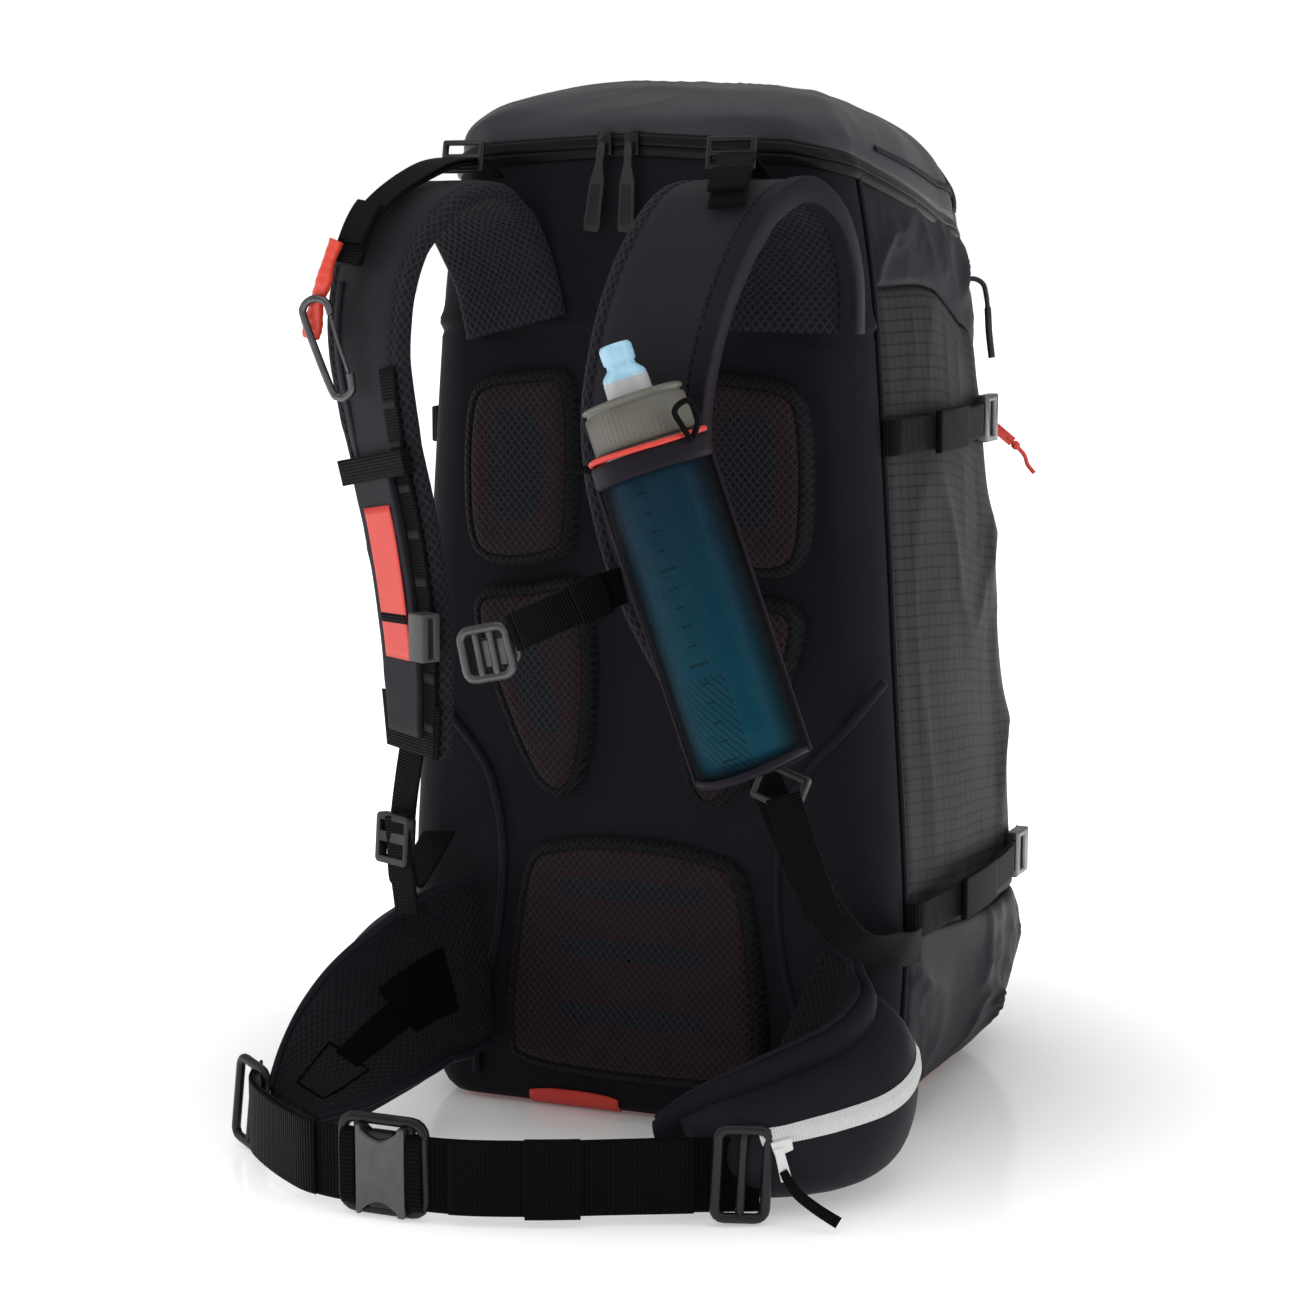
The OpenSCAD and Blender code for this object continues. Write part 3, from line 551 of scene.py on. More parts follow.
# Zip sliders and pulls: cast bodies with eased edges, each with a long flat moulded pull
# that hangs from its eye, and the red tab at the front of the right flank.
def hard_copy(node, finish, bevel=0.5, name=None):
    """The node's solid with its edges eased, as moulded and cast parts have them."""
    source = frame["nodes"][node]
    build = bmesh.new()
    build.from_mesh(source.data)
    bmesh.ops.remove_doubles(build, verts=build.verts, dist=1e-5)
    bmesh.ops.dissolve_limit(build, angle_limit=0.02, verts=build.verts, edges=build.edges)
    mesh = bpy.data.meshes.new(name or node)
    build.to_mesh(mesh)
    build.free()
    mesh.materials.clear()
    mesh.materials.append(finish.material)
    for face in mesh.polygons:
        face.use_smooth = True
    made = bpy.data.objects.new(name or node, mesh)
    scene.collection.objects.link(made)
    eased = made.modifiers.new("eased", "BEVEL")
    eased.width, eased.segments = bevel / 1000, 2
    eased.limit_method, eased.angle_limit = "ANGLE", math.radians(32)
    eased.harden_normals = True
    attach(made, source["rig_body"])
    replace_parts(made, node)
    return made


def moulded(name, colour, light, roughness=0.42, **fixed):
    """Moulded nylon or rubber: fine spark-eroded grain and slightly uneven gloss."""
    finish = Finish(name, colour, roughness, **fixed)
    finish.paint(finish.mix(finish.mottle(45), colour, light), finish.mottle(70) * 0.22 + (roughness - 0.1),
                 finish.mottle(900, 2), 0.0002, 0.35)
    return finish


def cast(name, colour, light, roughness=0.34):
    """Anodised or painted metal with fine scratches and uneven tone."""
    finish = Finish(name, colour, roughness, Metallic=0.85)
    scratch = finish.node("TexNoise", {}, {"Vector": finish.place(), "Scale": 500, "Detail": 1})
    finish.paint(finish.mix(finish.mottle(120, 4), colour, light),
                 finish.mottle(80) * 0.25 + (roughness - 0.1), scratch, 0.00012, 0.3)
    return finish


black_plastic = moulded("black_acetal", (0.0035, 0.0035, 0.004), (0.009, 0.009, 0.0098), 0.36,
                        Specular_IOR_Level=0.32)
slider_metal = cast("slider_metal", (0.012, 0.012, 0.013), (0.032, 0.032, 0.034))
pull_rubber = moulded("pull_rubber", (0.010, 0.010, 0.011), (0.020, 0.020, 0.0215), 0.45,
                      Specular_IOR_Level=0.3)


def slab(name, outline, thick, at, finish, body="bag", lean=0.0, yaw=0.0, bevel=0.6):
    """A flat moulded piece: an outline across and up, thick deep, leaned and turned about
    its own origin, then moved to a place."""
    a, b, n = math.radians(lean), math.radians(yaw), len(outline)
    points = []
    for y in (-thick / 2, thick / 2):
        for x, z in outline:
            u, w = x * math.cos(a) - z * math.sin(a), x * math.sin(a) + z * math.cos(a)
            points.append((at[0] + u * math.cos(b) - y * math.sin(b),
                           at[1] + u * math.sin(b) + y * math.cos(b), at[2] + w))
    faces = [tuple(range(n)), tuple(range(2 * n - 1, n - 1, -1))]
    faces += [(i, n + i, n + (i + 1) % n, (i + 1) % n) for i in range(n)]
    made = mesh_piece(name, points, faces, [finish], body)
    eased = made.modifiers.new("eased", "BEVEL")
    eased.width, eased.segments = bevel / 1000, 3
    eased.limit_method, eased.angle_limit, eased.harden_normals = "ANGLE", math.radians(40), True
    return made


pull_half = [(1.6, 3), (2.4, -1), (2.2, -9), (4.3, -18), (4.8, -43), (4.0, -46)]
pull_outline = [(-1.6, 3)] + pull_half + [(-x, z) for x, z in reversed(pull_half[1:])]
for side, x, lean in (("left", -17.4, -8), ("right", -1.4, -2)):
    eye = (x, -121.6, 548.8)
    hard_copy("zip_slider_" + side, slider_metal, 0.7)
    pull = slab("zip_pull_" + side, pull_outline, 2.2, eye, pull_rubber, "pull_" + side, lean)
    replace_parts(pull, "zip_pull_" + side)
    slab("zip_pull_grip_" + side, [(-2.6, -20), (2.6, -20), (3.0, -42), (-3.0, -42)], 3.0, eye,
         slider_metal, "pull_" + side, lean)
red_cord = Finish("red_cord", (0.62, 0.035, 0.02), 0.55, Sheen_Weight=0.1)
red_cord.paint(red_cord.mix(red_cord.mottle(300), (0.5, 0.026, 0.016), (0.75, 0.06, 0.04)),
               height=red_cord.mottle(700), depth=0.0004)
hard_copy("red_pull", red_cord, 0.5)


# Frame and airbag system: sheet, stays, folded airbag, steel cylinder and release head,
# all packed inside the bag behind the back panel.
def carried(node, finish):
    """A CAD node that stays as it is, with a real finish."""
    made = frame["nodes"][node]
    made.data.materials.clear()
    made.data.materials.append(finish.material)


carried("frame_sheet", moulded("frame_sheet_plastic", (0.6, 0.6, 0.58), (0.7, 0.7, 0.68)))
carried("frame_stays", cast("stay_alloy", (0.5, 0.51, 0.53), (0.62, 0.63, 0.65)))
carried("airbag", woven("airbag_nylon", (0.7, 0.16, 0.03), (0.8, 0.22, 0.05)))
carried("gas_cylinder", cast("cylinder_steel", (0.3, 0.31, 0.33), (0.42, 0.43, 0.45)))
carried("release_head", black_plastic)


# Back pads: moulded foam cushions under a net of diamond spacer mesh, with their rims in a near-black mesh
# that is painted shadow along the pads' edges.
# Blue-grey vents are let into the maroon foam of the upper, lower and lumbar pads.
def spline(points, n, closed=False):
    """A smooth curve through points, n steps to each, as numbers of any length."""
    k, made = len(points), []
    for i in range(k if closed else k - 1):
        if closed:
            a, b, c, d = (points[(i + j) % k] for j in (-1, 0, 1, 2))
        else:
            a, b, c, d = (points[min(max(i + j, 0), k - 1)] for j in (-1, 0, 1, 2))
        for j in range(n):
            t = j / n
            made.append(tuple(0.5 * (2 * q + (r - p) * t + (2 * p - 5 * q + 4 * r - s) * t * t
                                     + (3 * q - p - 3 * r + s) * t**3)
                              for p, q, r, s in zip(a, b, c, d)))
    return made if closed else made + [tuple(points[-1])]


def netted(finish, u, v, wide, tall, thread):
    """Threads of diamond mesh, 1 on a thread, with cells wide by tall centimetres."""
    one = finish.maths("ABSOLUTE", finish.maths("SINE", (u / wide + v / tall) * math.pi))
    two = finish.maths("ABSOLUTE", finish.maths("SINE", (u / wide - v / tall) * math.pi))
    near = finish.maths("MINIMUM", one, two)
    return finish.maths("SUBTRACT", 1.0, near / thread, clamp=True)


def spacer_mesh(name, thread, foam, foam_light, cell=(0.46, 0.54), width=0.72, vents=()):
    """Diamond spacer mesh over foam. vents are (x, z, half width, half height, lean) in cm
    of areas where blue-grey cloth shows instead, mirrored about the middle."""
    finish = Finish(name, foam, 0.75, Sheen_Weight=0.02, Sheen_Roughness=0.5, Specular_IOR_Level=0.15)
    u, v = finish.lay()
    threads = netted(finish, u, v, *cell, width)
    below = finish.mix(finish.mottle(40, 3), foam, foam_light)
    side = finish.maths("ABSOLUTE", u)
    for x, z, w, h, lean in vents:
        sx = finish.maths("ABSOLUTE", side - x - (v - z) * lean) / w
        sz = finish.maths("ABSOLUTE", v - z) / h
        inside = finish.maths("SUBTRACT", 1.0, sx ** 4 + sz ** 4, clamp=True)
        inside = finish.maths("MULTIPLY", inside, 3.0, clamp=True)
        below = finish.mix(inside, below, (0.0022, 0.003, 0.0058))
        thread = finish.mix(inside, thread, (0.021, 0.0225, 0.031))
    finish.paint(finish.mix(threads, below, thread), finish.mottle(60) * 0.2 + 0.6,
                 threads + finish.mottle(500, 2) * 0.3, 0.0009, 0.9)
    return finish


# Near-black mesh on the pads' rims: painted shadow along the pads' edges.
pad_rim_painted_shade_mesh = spacer_mesh("pad_rim_painted_shade_mesh", (0.010, 0.0088, 0.0135), (0.0010, 0.0009, 0.0013),
                          (0.0025, 0.0022, 0.0033), (0.42, 0.5), 0.7)
maroon, maroon_light = (0.0065, 0.0024, 0.0034), (0.0125, 0.0045, 0.0062)
net_thread = (0.029, 0.0165, 0.020)
pad_section = ((0, -0.4), (0.2, 3.2), (0.9, 6.4), (2.0, 8.6), (3.6, 9.7), (5.2, 10.0), (5.9, 9.2),
               (6.5, 9.1), (7.4, 10.6), (9.5, 11.7), (12.5, 12.2))


def back_pad(name, outline, finish, mirror=1):
    """A pad within outline, points of (x, z) in mm: its rim follows pad_section, as
    (distance in, height), and its middle sinks a little towards the centre."""
    line = spline(outline, 14, True)
    if mirror < 0:
        line = [(-x, z) for x, z in reversed(line)]
    cx, cz = (sum(p[i] for p in line) / len(line) for i in (0, 1))
    rows = []
    for d, h in pad_section:
        row = []
        for i, (x, z) in enumerate(line):
            (x0, z0), (x1, z1) = line[i - 3], line[(i + 3) % len(line)]
            tx, tz = x1 - x0, z1 - z0
            k = d / math.hypot(tx, tz)
            row.append((x - tz * k, back_y - h, z + tx * k))
        rows.append(row)
    rim_row = rows[-1]
    for k in (0.86, 0.7, 0.5, 0.3, 0.12, 0.01):
        rows.append([(cx + (x - cx) * k, y - 0.8 * (1 - k) + creases((x * k, 0, z), 30, 0.3),
                      cz + (z - cz) * k) for x, y, z in rim_row])
    made = cloth(name, rows, [pad_rim_painted_shade_mesh, finish], wrap=True, pick=lambda i, j: int(i > 6),
                 lay=[(x, z) for row in rows for x, y, z in row])
    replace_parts(made, name)
    return made


upper_pad = [(43, 323), (68, 316), (92, 318), (103, 334), (105, 376), (101, 410), (89, 422), (62, 426),
             (42, 426), (35, 408), (34, 370), (36, 336)]
lower_pad = [(48, 184), (64, 196), (82, 232), (99, 280), (94, 301), (64, 306), (33, 309), (25, 275),
             (26, 222), (34, 192)]
lumbar = [(-66, 26), (0, 22), (66, 26), (80, 44), (76, 100), (66, 148), (44, 160), (0, 164), (-44, 160),
          (-66, 148), (-76, 100), (-80, 44)]
upper_mesh = spacer_mesh("upper_pad_mesh", net_thread, maroon, maroon_light,
                         vents=[(7.0, 37.4, 1.7, 3.3, 0)])
lower_mesh = spacer_mesh("lower_pad_mesh", net_thread, maroon, maroon_light,
                         vents=[(6.1, 25.5, 1.1, 3.4, 0.36)])
lumbar_mesh = spacer_mesh("lumbar_pad_mesh", net_thread, maroon, maroon_light,
                          vents=[(0, z, 4.8, 0.62, 0) for z in (13.5, 10.0, 6.2)])
for side, mirror in (("right", 1), ("left", -1)):
    back_pad("upper_pad_" + side, upper_pad, upper_mesh, mirror)
    back_pad("lower_pad_" + side, lower_pad, lower_mesh, mirror)
back_pad("lumbar_pad", lumbar, lumbar_mesh)


# Piping: thin corded seams that run from the panel's edge in below the lower pads and down
# beside the lumbar pad, where the hip belt passes behind the panel.
def tube(name, points, radius, finishes, body="bag", closed=False, sides=12, ends=True, ripple=None):
    """A round cord through points. radius may be a number or one for each point."""
    n, rows, up = len(points), [], Vector((0.3, 0.2, 1)).normalized()
    for i, p in enumerate(points):
        a = points[(i - 1) % n] if closed or i else points[0]
        b = points[(i + 1) % n] if closed or i < n - 1 else points[-1]
        t = (Vector(b) - Vector(a)).normalized()
        up = (up - t * up.dot(t)).normalized()
        side = t.cross(up)
        r = radius[i] if isinstance(radius, list) else radius
        r *= 1 + (ripple(i) if ripple else 0)
        rows.append([tuple(Vector(p) + (up * math.cos(a) + side * math.sin(a)) * r)
                     for a in (math.tau * j / sides for j in range(sides))])
    if closed:
        rows.append(rows[0])
    return cloth(name, rows, finishes, body, wrap=True, ends=ends and not closed)


piping_path = [(146, 262), (126, 236), (104, 212), (91, 190), (84, 150), (88, 100), (100, 55), (102, 16)]
for side, name in ((1, "right"), (-1, "left")):
    seam = spline([(side * x, z) for x, z in piping_path], 14)
    tube("panel_piping_" + name, [(x, back_y - 1.4, z) for x, z in seam], 2.6, [nylon])
    tube("edge_piping_" + name, [bag_point(side * 2.0, z, 0.6) for z in steps(12, 538, 90)], 1.5, [nylon])


# Shoulder straps: shaped foam in diamond spacer mesh that wraps round the edges, with
# smooth fabric down the middle of the outer face, curved over the shoulder from the yoke.
def stations(path, n):
    """Centre, direction across, direction outward and half width along a strip's path."""
    line, made = spline(path, n), []
    for i, p in enumerate(line):
        a, b = line[max(0, i - 1)], line[min(len(line) - 1, i + 1)]
        t = (Vector(b[:3]) - Vector(a[:3])).normalized()
        w = Vector(p[3:6])
        w = (w - t * w.dot(t)).normalized()
        made.append((Vector(p[:3]), w, t.cross(w), p[6]))
    return made


def strip(name, line, section, finishes, body="bag", pick=None, wrap=True, ends=True, sag=None):
    """A strip along line with a cross-section of (across, outward) points in mm, given the
    half width at each station."""
    rows = []
    for i, (c, w, n, half) in enumerate(line):
        row = []
        for a, b in section(half):
            out = b + (sag(c + w * a, i, a) if sag else 0)
            row.append(tuple(c + w * a + n * out))
        rows.append(row)
    return cloth(name, rows, finishes, body, wrap=wrap, ends=ends, pick=pick)


def strap_section(half):
    """Cross-section of a strap: a bound rim, a stitched groove and a padded middle."""
    outer = [(-half, 0), (-half + .5, 2.6), (-half + 2.6, 4.5), (-half + 6, 5.1), (-half + 7, 4.4),
             (-half + 8, 4.4), (-half + 9.4, 5.3)]
    outer += [(a, 5.9) for a in steps(-half + 14, half - 14, 5)]
    outer += [(-a, b) for a, b in reversed(outer[:7])]
    inner = [(half - .5, -2.6), (half - 2.6, -4.4), (half - 8, -5.0)]
    inner += [(a, -5.5) for a in steps(half - 14, -half + 14, 5)]
    inner += [(-half + 8, -5.0), (-half + 2.6, -4.4), (-half + .5, -2.6)]
    return outer + inner


left_path = [(-71, -118, 450, .97, 0, .25, 31), (-79, -118.5, 482, .98, 0, .2, 31),
             (-88, -131, 510, 1, 0, 0, 33), (-92, -156, 525, 1, -.1, 0, 34),
             (-102, -183, 517, 1, -.25, 0, 34), (-113, -201, 488, 1, -.4, 0, 34),
             (-116, -208, 445, .9, -.42, 0, 34), (-108, -209, 395, .86, -.5, 0, 34),
             (-97, -207, 340, .86, -.5, 0, 33), (-91, -203, 280, .86, -.5, 0, 31),
             (-91, -199, 222, .86, -.5, 0, 25)]
right_path = [(93, -118, 450, 1, 0, 0, 37), (93, -118.5, 482, 1, 0, 0, 36), (90, -131, 510, 1, 0, 0, 35),
              (83, -156, 525, 1, 0, 0, 34), (73, -183, 517, 1, 0, 0, 34), (61, -201, 488, 1, 0, 0, 34),
              (49, -208, 445, 1, 0, 0, 34), (44, -209, 395, 1, 0, 0, 34), (56, -207, 335, 1, 0, 0, 33),
              (80, -203, 280, 1, 0, 0, 30), (103, -199, 232, 1, 0, 0, 24)]
strap_mesh = spacer_mesh("strap_mesh", (0.024, 0.0205, 0.030), (0.0020, 0.0017, 0.0026),
                         (0.0048, 0.0041, 0.0062), (0.46, 0.6), 0.8)
strap_cloth = woven("strap_cloth", (0.0135, 0.0120, 0.0155), (0.028, 0.025, 0.0315), 0.5, 0.04, 12)
strap_lines = {}
for side, path in (("left", left_path), ("right", right_path)):
    line = strap_lines[side] = stations(path, 12)
    made = strip("strap_" + side, line, strap_section, [strap_mesh, strap_cloth],
                 pick=lambda i, j: int(5 <= j < 13),
                 sag=lambda p, i, a: creases(p, 36, 0.9, (1, 1, 0.7)))
    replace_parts(made, "strap_" + side)


def flat_section(c0, c1, n0, n1):
    """Cross-section of flat webbing between shares of the half width and two distances."""
    def section(half):
        a, b, r = c0 * half, c1 * half, min(0.6, (n1 - n0) / 2.2)
        outer = [(a, n0 + r), (a, n1 - r), (a + r, n1)] + [(x, n1) for x in steps(a + 2, b - 2, 3)]
        inner = [(b, n0 + r), (b - r, n0)] + [(x, n0) for x in steps(b - 2, a + 2, 3)]
        return outer + [(b - r, n1), (b, n1 - r)] + inner + [(a + r, n0)]
    return section


strip("strap_binding_right", strap_lines["right"][:112], flat_section(0.8, 1.07, -7.6, 6.3), [nylon],
      sag=lambda p, i, a: creases(p, 24, 0.7))


# Load lifters: flat webbing from the yoke to a ring on each strap, folded back on itself
# and stitched down.
def ribbed(name, colour, light, pitch=6, roughness=0.5):
    """Woven nylon webbing: close ribs across it and a fine warp along it."""
    finish = Finish(name, colour, roughness, Sheen_Weight=0.01, Specular_IOR_Level=0.04)
    u, v = finish.lay()
    ribs, weft = finish.wave(v, pitch), finish.wave(u, 9)
    finish.paint(finish.mix(ribs * 0.5 + finish.mottle(60) * 0.5, colour, light),
                 ribs * -0.15 + (roughness + 0.08), ribs + weft * 0.45, 0.0006, 0.9)
    return finish


webbing = ribbed("black_webbing", (0.0016, 0.0016, 0.0018), (0.0052, 0.0052, 0.0056))
belt_web = ribbed("belt_webbing_weave", (0.0009, 0.0009, 0.001), (0.0036, 0.0036, 0.0038), 4.5)


def web(name, line, c0=-1, c1=1, n0=-0.9, n1=0.9, finish=webbing, body="bag", sag=None):
    return strip(name, line, flat_section(c0, c1, n0, n1), [finish], body, sag=sag)


lifter_paths = {
    "left": [(-86, -121, 533, 1, 0, 0, 10), (-88, -140, 540, 1, 0, 0, 10), (-99, -170, 536, 1, 0, 0, 10),
             (-116, -200, 516, 1, -.3, 0, 10), (-124, -214, 486, 1, -.4, 0, 10)],
    "right": [(71, -121, 533, 1, 0, 0, 10), (72, -140, 541, 1, 0, 0, 10), (77, -160, 541, 1, 0, 0, 10),
              (83, -180, 534, 1, 0, 0, 10), (86, -197, 517, 1, 0, 0, 10)]}
lifters = []
for side, path in lifter_paths.items():
    line = stations(path, 10)
    lifters.append(web("lifter_" + side, line))
    fold = line[8:]
    lifters.append(web("lifter_fold_" + side, fold, -0.98, 0.98, 1.1, 2.7,
                       sag=lambda p, i, a: 0.8 * math.sin(i * 0.2)))
    end = line[30:37]
    lifters.append(web("lifter_stop_" + side, end, -1.05, 1.05, 2.9, 5.6))
for made in lifters:
    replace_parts(made, "lifter_webbings")
hard_copy("lifter_rings", black_plastic, 0.9)


# Cords of the front zip and the red tab: a rubber-covered cord that comes out of the shell
# at the right front corner and hangs down it, and the tab's knotted red tail.
hang_path = [(-13, -5, 3), (-6, -2, 4), (-1, 0, 1), (1, 0, -5), (2, 1, -14), (3, 1, -28), (5, 1, -43)]
top = Vector(bag_point(3.2, 470, 11))
hang = [tuple(top + Vector(p)) for p in spline(hang_path, 6)]
pull = tube("pocket_zip_pull", hang, [1.5] * 24 + [2.1] * (len(hang) - 24), [pull_rubber], "pocket_pull")
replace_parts(pull, "pocket_zip_pull")
trail = spline([(139, 137, 377), (144, 139, 372), (149, 141, 366), (151, 142, 360), (155, 143, 355)], 6)
knotted = [1.2] * 5 + [2.6] * 3 + [1.3] * (len(trail) - 8)
tube("red_cord_end", trail, knotted, [red_cord], "cord_pull")


# Fittings on the left strap and the lower webbing: the daisy chain with its dark bar tacks,
# the handle's zipped sleeve with a plain red label, and webbing down to the belt.
left_line = strap_lines["left"]
outer = 6.2
chain = web("daisy_chain", left_line[76:121], 0.5, 0.92, outer, outer + 1.6)
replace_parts(chain, "daisy_chain")
tack_thread = Finish("bar_tack_thread", (0.012, 0.012, 0.013), 0.6, Specular_IOR_Level=0.1)
tack_thread.paint(tack_thread.mix(tack_thread.mottle(600), (0.005, 0.005, 0.0055), (0.018, 0.018, 0.019)),
                  height=tack_thread.mottle(900), depth=0.0005)
for i in range(80, 120, 5):
    web(f"chain_tack_{i}", left_line[i:i + 2], 0.54, 0.88, outer + 1.5, outer + 2.0, tack_thread)
sleeve = strip("trigger_sleeve", left_line[88:118], flat_section(-0.7, 0.46, outer - 0.4, outer + 4.2),
               [strap_cloth], sag=lambda p, i, a: creases(p, 30, 0.8) if a else 0)
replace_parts(sleeve, "trigger_sleeve")
label_red = Finish("red_label", (0.66, 0.032, 0.02), 0.42)
label_red.paint(label_red.mix(label_red.mottle(50), (0.56, 0.026, 0.016), (0.74, 0.05, 0.03)),
                height=label_red.mottle(500), depth=0.0002)
strip("red_label", left_line[92:110], flat_section(-0.5, 0.30, outer + 4.6, outer + 5.6), [label_red])
strip("red_label_fold", left_line[104:106], flat_section(-0.5, 0.30, outer + 4.9, outer + 5.8), [webbing])
web("sleeve_elastic", left_line[86:90], -1.02, 1.02, outer - 0.4, outer + 5.4)
strip("sleeve_zip", left_line[64:88], flat_section(-0.62, -0.5, outer - 0.2, outer + 1.0), [nylon])
web("left_strap_hem", left_line[113:121], -1.03, 1.03, outer - 0.4, outer + 1.2)

lower_paths = {
    "left": [(-93, -201, 240, .9, -.45, 0, 10), (-98, -200, 218, 1, -.4, 0, 10),
             (-103, -199, 190, 1, -.4, 0, 10), (-107, -196, 162, 1, -.3, 0, 10),
             (-111, -182, 142, 1, -.2, 0, 10), (-117, -152, 147, 1, 0, 0, 10),
             (-123, -118, 158, 1, 0, 0, 10)],
    "right": [(99, -200, 246, 1, 0, .15, 10), (107, -197, 224, 1, 0, .3, 10),
              (119, -193, 195, 1, 0, .35, 10), (132, -184, 160, 1, .1, .3, 10),
              (146, -160, 128, 1, .6, .2, 10), (160, -120, 116, .3, 1, .6, 10),
              (160, -88, 112, 0, .3, 1, 10)]}
for side, path in lower_paths.items():
    line = stations(path, 12)
    made = web("lower_webbing_" + side, line)
    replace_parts(made, "lower_webbings")
    hard_copy("ladder_lock_" + side, black_plastic, 0.9)
tail_paths = {
    "left": [(-104, -206, 186, 1, -.4, 0, 10), (-100, -209, 160, 1, -.4, 0, 10),
             (-97, -208, 132, 1, -.4, 0, 10)],
    "right": [(122, -206, 214, 1, 0, .35, 10), (132, -206, 186, 1, 0, .35, 10),
              (144, -202, 150, 1, .1, .35, 10)]}
for side, path in tail_paths.items():
    web("webbing_tail_" + side, stations(path, 10))


# Trigger handle and carabiner: a red moulded handle at the left strap's outer edge, and a
# dark grey wire-gate carabiner that hangs from its foot.
handle_plastic = moulded("red_handle_plastic", (0.62, 0.04, 0.022), (0.78, 0.07, 0.04), 0.38)
grip_path = [(-132, -213, 499, 1, 0, .25, 4.0), (-136, -215, 488, 1, .3, .25, 3.4),
             (-138, -217, 478, 1, 0, .25, 4.4), (-143, -216, 466, 1, -.3, .25, 3.8),
             (-147, -214, 454, 1, 0, .25, 5.6), (-149, -213, 447, 1, 0, .25, 4.8)]


def grip_section(half):
    """An oval with flattened sides, 2 * half wide and 6.8 mm deep."""
    points = []
    for a in (math.tau * i / 20 for i in range(20)):
        across = half * math.cos(a) * abs(math.cos(a)) ** -0.4 if abs(math.cos(a)) > 1e-6 else 0
        points.append((across, 3.4 * math.sin(a)))
    return points


grip = strip("trigger_handle", stations(grip_path, 8), grip_section, [handle_plastic], "handle",
             sag=lambda p, i, a: 0.35 * math.sin(i * 1.57))
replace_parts(grip, "trigger_handle")
alloy = cast("carabiner_alloy", (0.055, 0.055, 0.058), (0.15, 0.15, 0.155), 0.26)


def tipped(angle, at, points):
    """Points in the x-z plane, tipped by angle and moved to a place."""
    a = math.radians(angle)
    return [(at[0] + x * math.cos(a) + z * math.sin(a), at[1] + y, at[2] - x * math.sin(a) + z * math.cos(a))
            for x, y, z in points]


swivel = (-141, -222, 462)
rod = spline([(8, 0, -5), (7.4, 0, 2), (1, 0, 6), (-6, 0, 4), (-8, 0, -4), (-6, 0, -42), (-3, 0, -48),
              (1.5, 0, -49.4), (6, 0, -47), (7.6, 0, -42), (7.8, 0, -38.5)], 10)
made = tube("carabiner", tipped(-20, swivel, rod), 2.1, [alloy], "carabiner", sides=16)
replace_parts(made, "carabiner")
wire = spline([(7.6, 0, -5), (7.2, 1.5, -8), (6.4, 1.9, -20), (6.2, 1.8, -34), (7.2, 0, -38),
               (8.0, -1.8, -34), (8.0, -1.9, -20), (8.2, -1.5, -8), (8.2, 0, -5)], 8)
made = tube("carabiner_gate", tipped(-20, swivel, wire), 0.9, [alloy], "gate", sides=10)
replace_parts(made, "carabiner_gate")


# Sternum strap: 20 mm webbing with a keeper, a grey metal frame buckle and its hook, and a
# moulded slider that rides on the left strap's edge.
buckle_grey = cast("buckle_grey", (0.06, 0.061, 0.063), (0.12, 0.121, 0.125), 0.36)
grey_plastic = moulded("grey_acetal", (0.035, 0.035, 0.038), (0.06, 0.06, 0.064), 0.45)
sternum_path = [(-64, -238, 285, 0, 0, 1, 10), (-40, -246, 286, 0, .1, 1, 10),
                (-14, -247, 297, -.3, 0, 1, 10), (10, -243, 308, -.3, 0, 1, 10),
                (30, -232, 318, -.2, 0, 1, 10), (38, -220, 322, 0, 0, 1, 10)]
sternum_line = stations(sternum_path, 12)
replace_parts(web("sternum_webbing", sternum_line[24:]), "sternum_webbing")
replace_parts(web("sternum_keeper", sternum_line[41:51], -1.12, 1.12, 1.2, 4.6), "sternum_webbing")
web("sternum_fold", sternum_line[26:44], -0.98, 0.98, 1.1, 2.6)
hard_copy("sternum_slider", grey_plastic, 1.2)


def ring(name, w, h, r, at, finish, radius, body="bag", yaw=0.0, lean=0.0, bars=()):
    """A bent-rod frame w by h, with bars across it at shares of its half width."""
    a, b = math.radians(lean), math.radians(yaw)

    def put(x, z):
        u, v = x * math.cos(a) - z * math.sin(a), x * math.sin(a) + z * math.cos(a)
        return at[0] + u * math.cos(b), at[1] + u * math.sin(b), at[2] + v

    x0, z0 = w / 2 - r, h / 2 - r
    corners = ((x0, z0, 0), (-x0, z0, 90), (-x0, -z0, 180), (x0, -z0, 270))
    loop = [put(x + r * math.cos(math.radians(t + d)), z + r * math.sin(math.radians(t + d)))
            for x, z, t in corners for d in (0, 22.5, 45, 67.5, 90)]
    made = tube(name, loop, radius, [finish], body, closed=True, sides=14)
    for k, share in enumerate(bars):
        x = share * w / 2
        tube(f"{name}_bar_{k}", [put(x, z) for z in steps(-h / 2, h / 2, 8)], radius * 0.85, [finish], body)
    return made


bright_grey = cast("sternum_metal", (0.05, 0.05, 0.05), (0.12, 0.12, 0.12), 0.32)
loop = ring("sternum_frame", 26, 26, 5, (-28, -247, 286), bright_grey, 2.6, yaw=5, lean=12,
            bars=(-0.35, 0.3))
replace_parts(loop, "sternum_frame")
hook_outline = [(-13, -8), (9, -8), (12, -4), (12, 4), (9, 8), (-13, 8)]
plate = slab("sternum_hook", hook_outline, 5, (-22, -243, 287), bright_grey, lean=12, yaw=5, bevel=1.6)
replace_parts(plate, "sternum_hook")


# Bottle pocket and soft flask: a stretch-mesh sleeve with a bound mouth, tied to the strap,
# round a blue film flask with a ribbed screw cap, a bite valve and a red elastic.
flask_at, lean = Vector((123, -246, 232)), math.radians(-20)


def on_flask(radius, height, angle, flat=1.0):
    """A point round the flask's axis, angle 0 towards the wearer's right."""
    x, y = radius * math.cos(angle), radius * flat * math.sin(angle)
    return tuple(flask_at + Vector((x * math.cos(lean) + height * math.sin(lean), y,
                                    -x * math.sin(lean) + height * math.cos(lean))))


